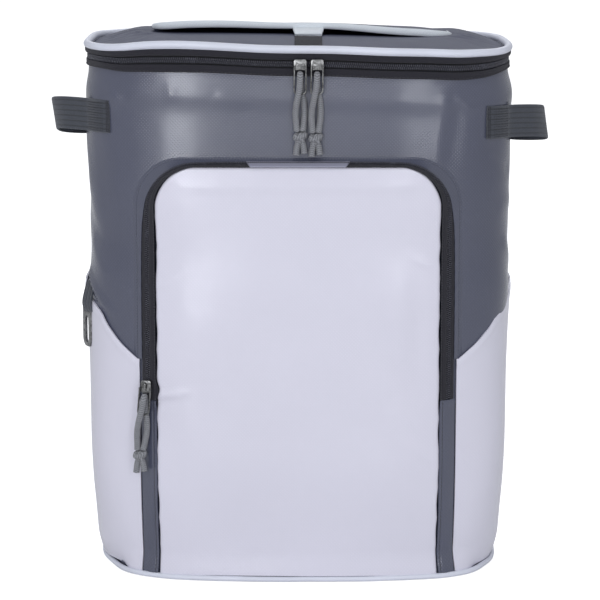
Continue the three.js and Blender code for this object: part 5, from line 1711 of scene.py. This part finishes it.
def cord_knot(where, stem):
    """The knot at a cord's foot: a trefoil, a wrap round it and two flared tails."""
    base = slider_base(where)
    radius = sizes().cord / 2
    drop, lean, raised = cord_fall[where]
    down = -drop - raised * 2 - knot_drop
    out = knot_out + raised
    middle = in_frame(base, lean * down * mm, down * mm, out * mm)
    turn = np.linspace(0, 2 * pi, 91)
    trefoil = np.stack((
        (np.sin(turn) + 2 * np.sin(2 * turn)) * knot_wide, (np.cos(turn) - 2 * np.cos(2 * turn)) * knot_tall,
        -np.sin(3 * turn) * knot_deep,
    ), -1) * mm
    wrap = np.stack((3.5 * np.cos(turn), 1.3 * np.cos(turn + 0.5) + 0.8, 2.3 * np.sin(turn)), -1) * mm
    parts = []
    for name, shape in (("knot_turn", trefoil), ("knot_wrap", wrap)):
        loop = middle + shape[:, :1] * base[1] + shape[:, 1:2] * base[2] + shape[:, 2:] * base[3]
        parts.append(cord_length(name, loop[:-1], radius * 0.86, closed=True))
    for side, reach in tail_reach.items():
        course = ((0.6, 1, 0), (1.7, 4, 0.2), (2.6, 4 + reach * 0.5, 0.5), (3.1, 4 + reach, 0.6))
        tail = [
            in_frame(base, (lean * down + side * p) * mm, (down - q) * mm, (out - r) * mm)
            for p, q, r in course
        ]
        parts.append(cord_length("knot_tail", smooth_path(tail, 40), radius * 0.92, flare=1.12))
    deselect()
    for part in parts:
        part.select_set(True)
    bpy.context.view_layer.objects.active = parts[0]
    bpy.ops.object.join()
    knot = bpy.context.object
    knot.name = f"{stem}_cord_knot"
    return put(knot, "cord", "cord", pull_node(stem, "pull_knot", where))


def cord_length(name, centre, radius, closed=False, flare=1.0, sides=14):
    """A short stretch of cord along a path."""
    ring = np.concatenate((centre[-1:], centre, centre[:1])) if closed else centre
    along = np.gradient(ring, axis=0)
    along = unit(along[1:-1] if closed else along)
    ups = np.empty_like(along)
    last = np.array((0.0, -1.0, 0.0))
    for k, way in enumerate(along):
        last = unit(last - way * np.dot(last, way))
        ups[k] = last
    outs = np.cross(ups, along)
    if closed:
        centre, ups, outs = (np.concatenate((v, v[:1])) for v in (centre, ups, outs))
    radii = radius * np.linspace(1, flare, len(centre))
    obj = round_skin(name, (centre, ups, outs), way_along(centre), radii, sides)
    seal(obj, fill=not closed)
    smooth(obj, 60)
    return obj


wire_half, wire_length, wire_radius = 4.3, 22, 0.7 * mm
wire_out, wire_slope = 4.6, 0.055


def puller(where, stem):
    """The bent wire of a zip puller and its slider."""
    base = slider_base(where)
    lean = cord_fall[where][1]
    w, length = wire_half, wire_length
    r = w * 0.7
    course = (
        (-w, -0.5), (-w, -length * 0.5), (-w, -length + r), (-w + r * 0.3, -length + r * 0.3),
        (-w + r, -length), (w - r, -length), (w - r * 0.3, -length + r * 0.3), (w, -length + r),
        (w, -length * 0.5), (w, -0.5),
    )
    path = [
        in_frame(base, (p + lean * q) * mm, q * mm, (wire_out + wire_slope * q) * mm) for p, q in course
    ]
    wire = cord_length(f"{stem}_wire", smooth_path(path, 110), wire_radius, sides=12)
    put(wire, "metal", "metal", pull_node(stem, "puller", where))
    slider_node = pull_node(stem, "slider", where)
    slider = dressed_copy(slider_node, f"{stem}_slide", 0.6 * mm, 3)
    slider.data.transform(Matrix.Translation((0, 0, slider_sag(where))))
    put(slider, "metal", "metal", slider_node)


# Back
panel_width, panel_foot, panel_top, panel_thick, panel_stand = 212 * mm, 56 * mm, 360 * mm, 12 * mm, 1.1 * mm


def on_back(p, z, out):
    return skin().at(skin().girth(z) - p, z, out)


def back_panel():
    """The padded back with sewn channels."""
    u = np.linspace(-1, 1, 131)[None, :]
    v = np.linspace(0, 1, 181)[:, None]
    z = lerp(panel_foot, panel_top, v)
    p = -u * panel_width / 2
    p, z = np.broadcast_arrays(p, z)
    edge = np.minimum(1 - np.abs(u), np.minimum(v, 1 - v) * 1.6)
    crown = np.sqrt(np.clip(edge / 0.14, 0, 1))
    channels = sum(hump(np.abs(p), c * mm, 2.2 * mm) for c in (0, 44)) * ease(edge / 0.1)
    ribs = sum(hump(v, c, 0.008) for c in (0.2, 0.4, 0.6, 0.8)) * (np.abs(p) < 44 * mm)
    dent = 1 - 0.55 * np.clip(channels + ribs * ease(edge / 0.1), 0, 1)
    thick = 1.4 * mm + (panel_thick - 1.4 * mm) * crown * dent
    point = on_back(p, z, panel_stand + thick)
    obj = drape("padded_back", point, np.stack((-p, z), -1))
    wall(obj, 1.4 * mm)
    put(obj, "padding", "padding", "back_panel")


strap_turns = (
    # down, out, spread
    (0, 0.16, 0), (0.1, 0.5, 0.02), (0.25, 0.85, 0.12), (0.45, 1, 0.36), (0.65, 0.9, 0.62),
    (0.85, 0.62, 0.86), (1, 0.42, 1),
)
strap_top, strap_out, strap_length, strap_stand, strap_spread = 357 * mm, 52 * mm, 235 * mm, 22 * mm, 34 * mm
strap_thick = 9 * mm


def strap_course(side):
    face = sizes().body_depth / 2 + panel_stand + panel_thick
    return [
        (side * (strap_out + spread * strap_spread), face + 0.4 * mm + strap_thick / 2 + out * strap_stand,
         strap_top - down * strap_length)
        for down, out, spread in strap_turns
    ]


def shoulder_strap(side, name):
    """A padded strap with a bound edge."""
    size = sizes()
    count = 120
    centre = smooth_path(strap_course(side), count)
    across = np.tile(sideways, (count, 1))
    half = size.strap / 2
    t = strap_thick / 2
    up = np.linspace(-1, 1, 45)
    face = t * (0.35 + 0.65 * np.sqrt(np.clip((1 - np.abs(up)) / 0.16, 0, 1)))
    face *= 1 - 0.3 * hump(np.abs(up), 0.8, 0.03)
    front = np.stack((face, up * half), -1)
    back = np.stack((-face[::-1], up[::-1] * half), -1)
    profile = np.concatenate((front, back[1:-1]))
    obj = band(name, (centre, across, outward(centre, across)), profile, "padding", "padding", name)


tail_out, tail_foot, tail_stand, buckle_drop, tail_thick = 88 * mm, 38 * mm, 1.3 * mm, 24.8 * mm, 1.8 * mm


def strap_tail(side, name, node_name):
    """The webbing from a strap's buckle to its seam at the foot of the back, turning to lie on it."""
    top = np.array(strap_course(side)[-1]) - (0, 0, buckle_drop)
    p, z = np.array([side * tail_out]), np.array([tail_foot])
    seam = on_back(p, z, tail_stand)[0]
    normal = skin().normal(skin().girth(z) - p, z)[0]
    sewn = unit(np.array((normal[1], -normal[0], 0)))
    t = np.linspace(0, 1, 60)[:, None]
    centre = lerp(top, seam, t)
    centre[:, 1] = lerp(top[1], seam[1], t[:, 0] ** 3)
    across = unit(lerp(np.array(sideways), sewn, t))
    profile = ribbed_strap(sizes().webbing, tail_thick)
    band(name, (centre, across, outward(centre, across)), profile, "webbing", "webbing", node_name)


haul_shape = (
    # share of the width, share of the stand
    (-0.5, 0), (-0.36, 0.02), (-0.27, 0.5), (-0.14, 0.9), (0, 1), (0.14, 0.9), (0.27, 0.5),
    (0.36, 0.02), (0.5, 0),
)
haul_width, haul_z, haul_stand, haul_rise, haul_webbing = 110 * mm, 374 * mm, 26 * mm, 3 * mm, 20 * mm


def haul_loop():
    """The webbing loop at the top of the back."""
    points = []
    for share, out in haul_shape:
        point = on_back(np.array([-share * haul_width]), np.array([haul_z]), tail_stand)[0]
        points.append(point + (0, out * haul_stand, out * haul_rise))
    centre = smooth_path(points, 100)
    ups = np.tile(upwards, (100, 1))
    path = centre, ups, -outward(centre, ups)
    profile = ribbed_strap(haul_webbing, tail_thick, 10)
    band("haul_loop_webbing", path, profile, "webbing", "webbing", "haul_loop")


def strap_pieces():
    """Both shoulder straps with their buckles and webbing."""
    for side, where in ((-1, "left"), (1, "right")):
        shoulder_strap(side, f"shoulder_strap_{where}")
        buckle = dressed_copy(f"strap_buckle_{where}", f"ladder_buckle_{where}", 0.7 * mm, 2)
        put(buckle, "plastic", "plastic", f"strap_buckle_{where}")
        strap_tail(side, f"strap_tail_{where}", f"strap_webbing_{where}")


# Stage
camera_place = (1.5 * mm, -2.05, 0.545)
camera_pitch = radians(9.46)
focal_pixels, photo_pixels, sensor = 2601, 600, 36
surround_light = 0.54
light_tint = (0.93, 0.95, 1.0)


lights = (
    # name, place, aim, width, height, power in watts
    ("left strip", (-0.73, -2.6, 0.66), (-0.05, 0, 0.3), 0.56, 1.4, 18),
    ("right strip", (0.74, -2.6, 0.66), (0.05, 0, 0.3), 0.46, 1.4, 8.5),
    ("top fill", (-0.2, -1.2, 2.6), (0, 0, 0.2), 2.0, 1.4, 6),
    ("rear fill", (0, 2.4, 2.2), (0, 0, 0.2), 2.4, 1.4, 24),
)
floor_glow = 0.72


def soft_light(name, place, aim, width, height, power):
    """A rectangle of soft light turned towards a point."""
    data = bpy.data.lights.new(name, "AREA")
    data.shape = "RECTANGLE"
    data.size, data.size_y = width, height
    data.energy = power
    data.color = light_tint
    obj = bpy.data.objects.new(name, data)
    bpy.context.scene.collection.objects.link(obj)
    obj.location = place
    obj.rotation_euler = (Vector(aim) - Vector(place)).to_track_quat("-Z", "Y").to_euler()


def studio_camera():
    """The camera, its place and lens worked out from the photograph."""
    scene = bpy.context.scene
    data = bpy.data.cameras.new("studio camera")
    data.sensor_width = sensor
    data.lens = focal_pixels * sensor / photo_pixels
    data.clip_end = 100
    camera = bpy.data.objects.new("studio camera", data)
    scene.collection.objects.link(camera)
    camera.location = camera_place
    camera.rotation_euler = Euler((pi / 2 - camera_pitch, 0, 0))
    scene.camera = camera


def studio_floor():
    """A pale floor that glows for the camera only, so that shadows stay faint."""
    deselect()
    bpy.ops.mesh.primitive_plane_add(size=40, location=(0, 6, 0))
    floor = bpy.context.object
    floor.name = "studio_floor"
    material, tree, shader = new_material("studio floor", (0.9, 0.9, 0.9))
    grain = noise(tree, object_place(tree), 3, 2)
    feed(tree, shader, Base_Color=mix(tree, grain, (0.78, 0.78, 0.78), (0.8, 0.8, 0.8)))
    feed(tree, shader, Roughness=0.9, Emission_Color=(1.0, 1.0, 1.0), Emission_Strength=0.0)
    glow = node(tree, "ShaderNodeEmission", {}, ((1, 1, 1, 1), floor_glow))
    seen = tree.nodes.new("ShaderNodeAddShader")
    tree.links.new(shader.outputs[0], seen.inputs[0])
    tree.links.new(glow.socket, seen.inputs[1])
    camera_ray = node(tree, "ShaderNodeLightPath", {}, ())
    both = Shade(tree, shader.outputs[0]), Shade(tree, seen.outputs[0])
    either = node(tree, "ShaderNodeMixShader", {}, (camera_ray, *both))
    tree.links.new(either.socket, tree.nodes["Material Output"].inputs[0])
    floor.data.materials.append(material)


def studio_surround():
    """White to the camera, dimmer and cooler as a light."""
    scene = bpy.context.scene
    world = scene.world or bpy.data.worlds.new("studio surround")
    scene.world = world
    world.use_nodes = True
    tree = world.node_tree
    tree.nodes.clear()
    seen = node(tree, "ShaderNodeBackground", {}, ((1, 1, 1, 1), 1.0))
    lit = node(tree, "ShaderNodeBackground", {}, ((*light_tint, 1), surround_light))
    either = node(tree, "ShaderNodeMixShader", {}, (node(tree, "ShaderNodeLightPath", {}, ()), lit, seen))
    out = tree.nodes.new("ShaderNodeOutputWorld")
    tree.links.new(either.socket, out.inputs[0])


def stage():
    """Camera, pale floor, white surround and soft lights."""
    studio_camera()
    studio_floor()
    studio_surround()
    for light in lights:
        soft_light(*light)
    scene = bpy.context.scene
    scene.view_settings.view_transform = "Standard"
    scene.view_settings.look = "None"


# Operators
class BagOperator:
    bl_options = {"REGISTER", "UNDO"}

    def execute(self, context):
        self.make()
        return {"FINISHED"}


class BAG_OT_finishes(BagOperator, bpy.types.Operator):
    """Make the fabrics, tapes, metal, cord and plastic"""

    bl_idname = "bag.finishes"
    bl_label = "Finishes"

    def make(self):
        make_finishes()


class BAG_OT_stage(BagOperator, bpy.types.Operator):
    """Set the camera, floor and lights"""

    bl_idname = "bag.stage"
    bl_label = "Stage"

    def make(self):
        stage()


class BAG_OT_cords(BagOperator, bpy.types.Operator):
    """Hang the pull cords with their knots"""

    bl_idname = "bag.cords"
    bl_label = "Pull Cords"

    def make(self):
        pull_cord("left", "lid")
        pull_cord("right", "lid")
        pull_cord("pocket", "pocket")


class BAG_OT_pullers(BagOperator, bpy.types.Operator):
    """Make the zip sliders and wire pullers"""

    bl_idname = "bag.pullers"
    bl_label = "Sliders and Pullers"

    def make(self):
        puller("left", "lid")
        puller("right", "lid")
        puller("pocket", "pocket")


class BAG_OT_body(BagOperator, bpy.types.Operator):
    """Make the body shell and the welt at its foot"""

    bl_idname = "bag.body"
    bl_label = "Body"

    def make(self):
        body_shell()
        base_welt()


class BAG_OT_side_pockets(BagOperator, bpy.types.Operator):
    """Make the white pockets on both sides"""

    bl_idname = "bag.side_pockets"
    bl_label = "Side Pockets"

    def make(self):
        side_pocket(-1, "left_side_pocket", "side_pocket_left")
        side_pocket(1, "right_side_pocket", "side_pocket_right")


class BAG_OT_front_pocket(BagOperator, bpy.types.Operator):
    """Make the front pocket with its zip and strips"""

    bl_idname = "bag.front_pocket"
    bl_label = "Front Pocket"

    def make(self):
        pocket_panel()
        pocket_zip()
        arch_hem()
        rows = [
            pocket_strip(-1, "left_gusset_strip", "pocket_strip_left"),
            pocket_strip(1, "right_gusset_strip", "pocket_strip_right"),
        ]
        stitches("gusset_stitches", rows, "dark_thread")
        pocket_top_strip()


class BAG_OT_lid(BagOperator, bpy.types.Operator):
    """Make the lid with its zip, band and piping"""

    bl_idname = "bag.lid"
    bl_label = "Lid"

    def make(self):
        lid_panel()
        lid_rings()


class BAG_OT_flap(BagOperator, bpy.types.Operator):
    """Make the access flap, its binding, tab and patch"""

    bl_idname = "bag.flap"
    bl_label = "Access Flap"

    def make(self):
        flap_cushion()
        flap_edge()
        flap_tab()
        hook_patch()


class BAG_OT_handles(BagOperator, bpy.types.Operator):
    """Make the side handles, gear loop and opener"""

    bl_idname = "bag.handles"
    bl_label = "Handles and Opener"

    def make(self):
        side_handles()
        gear_loop()
        bottle_opener()


class BAG_OT_back(BagOperator, bpy.types.Operator):
    """Make the padded back, shoulder straps and haul loop"""

    bl_idname = "bag.back"
    bl_label = "Back and Straps"

    def make(self):
        back_panel()
        strap_pieces()
        haul_loop()


operators = (
    BAG_OT_finishes, BAG_OT_stage, BAG_OT_cords, BAG_OT_pullers, BAG_OT_body, BAG_OT_side_pockets,
    BAG_OT_front_pocket, BAG_OT_lid, BAG_OT_flap, BAG_OT_handles, BAG_OT_back,
)


class BAG_PT_panel(bpy.types.Panel):
    """The bag's sizes, colours and pieces"""

    bl_idname = "BAG_PT_panel"
    bl_label = "Cooler Backpack"
    bl_space_type = "VIEW_3D"
    bl_region_type = "UI"
    bl_category = "Bag"

    def draw(self, context):
        column = self.layout.column()
        for group in (context.scene.bag_sizes, context.scene.bag_colours):
            for key in group.__annotations__:
                column.prop(group, key)
        for kind in operators:
            column.operator(kind.bl_idname)


classes = (BagSizes, BagColours, *operators, BAG_PT_panel)


def register():
    for kind in classes:
        bpy.utils.register_class(kind)
    bpy.types.Scene.bag_sizes = bpy.props.PointerProperty(type=BagSizes)
    bpy.types.Scene.bag_colours = bpy.props.PointerProperty(type=BagColours)


def unregister():
    del bpy.types.Scene.bag_colours
    del bpy.types.Scene.bag_sizes
    for kind in reversed(classes):
        bpy.utils.unregister_class(kind)


def main():
    register()
    for kind in operators:
        group, name = kind.bl_idname.split(".")
        getattr(getattr(bpy.ops, group), name)()


if __name__ == "__main__":
    main()
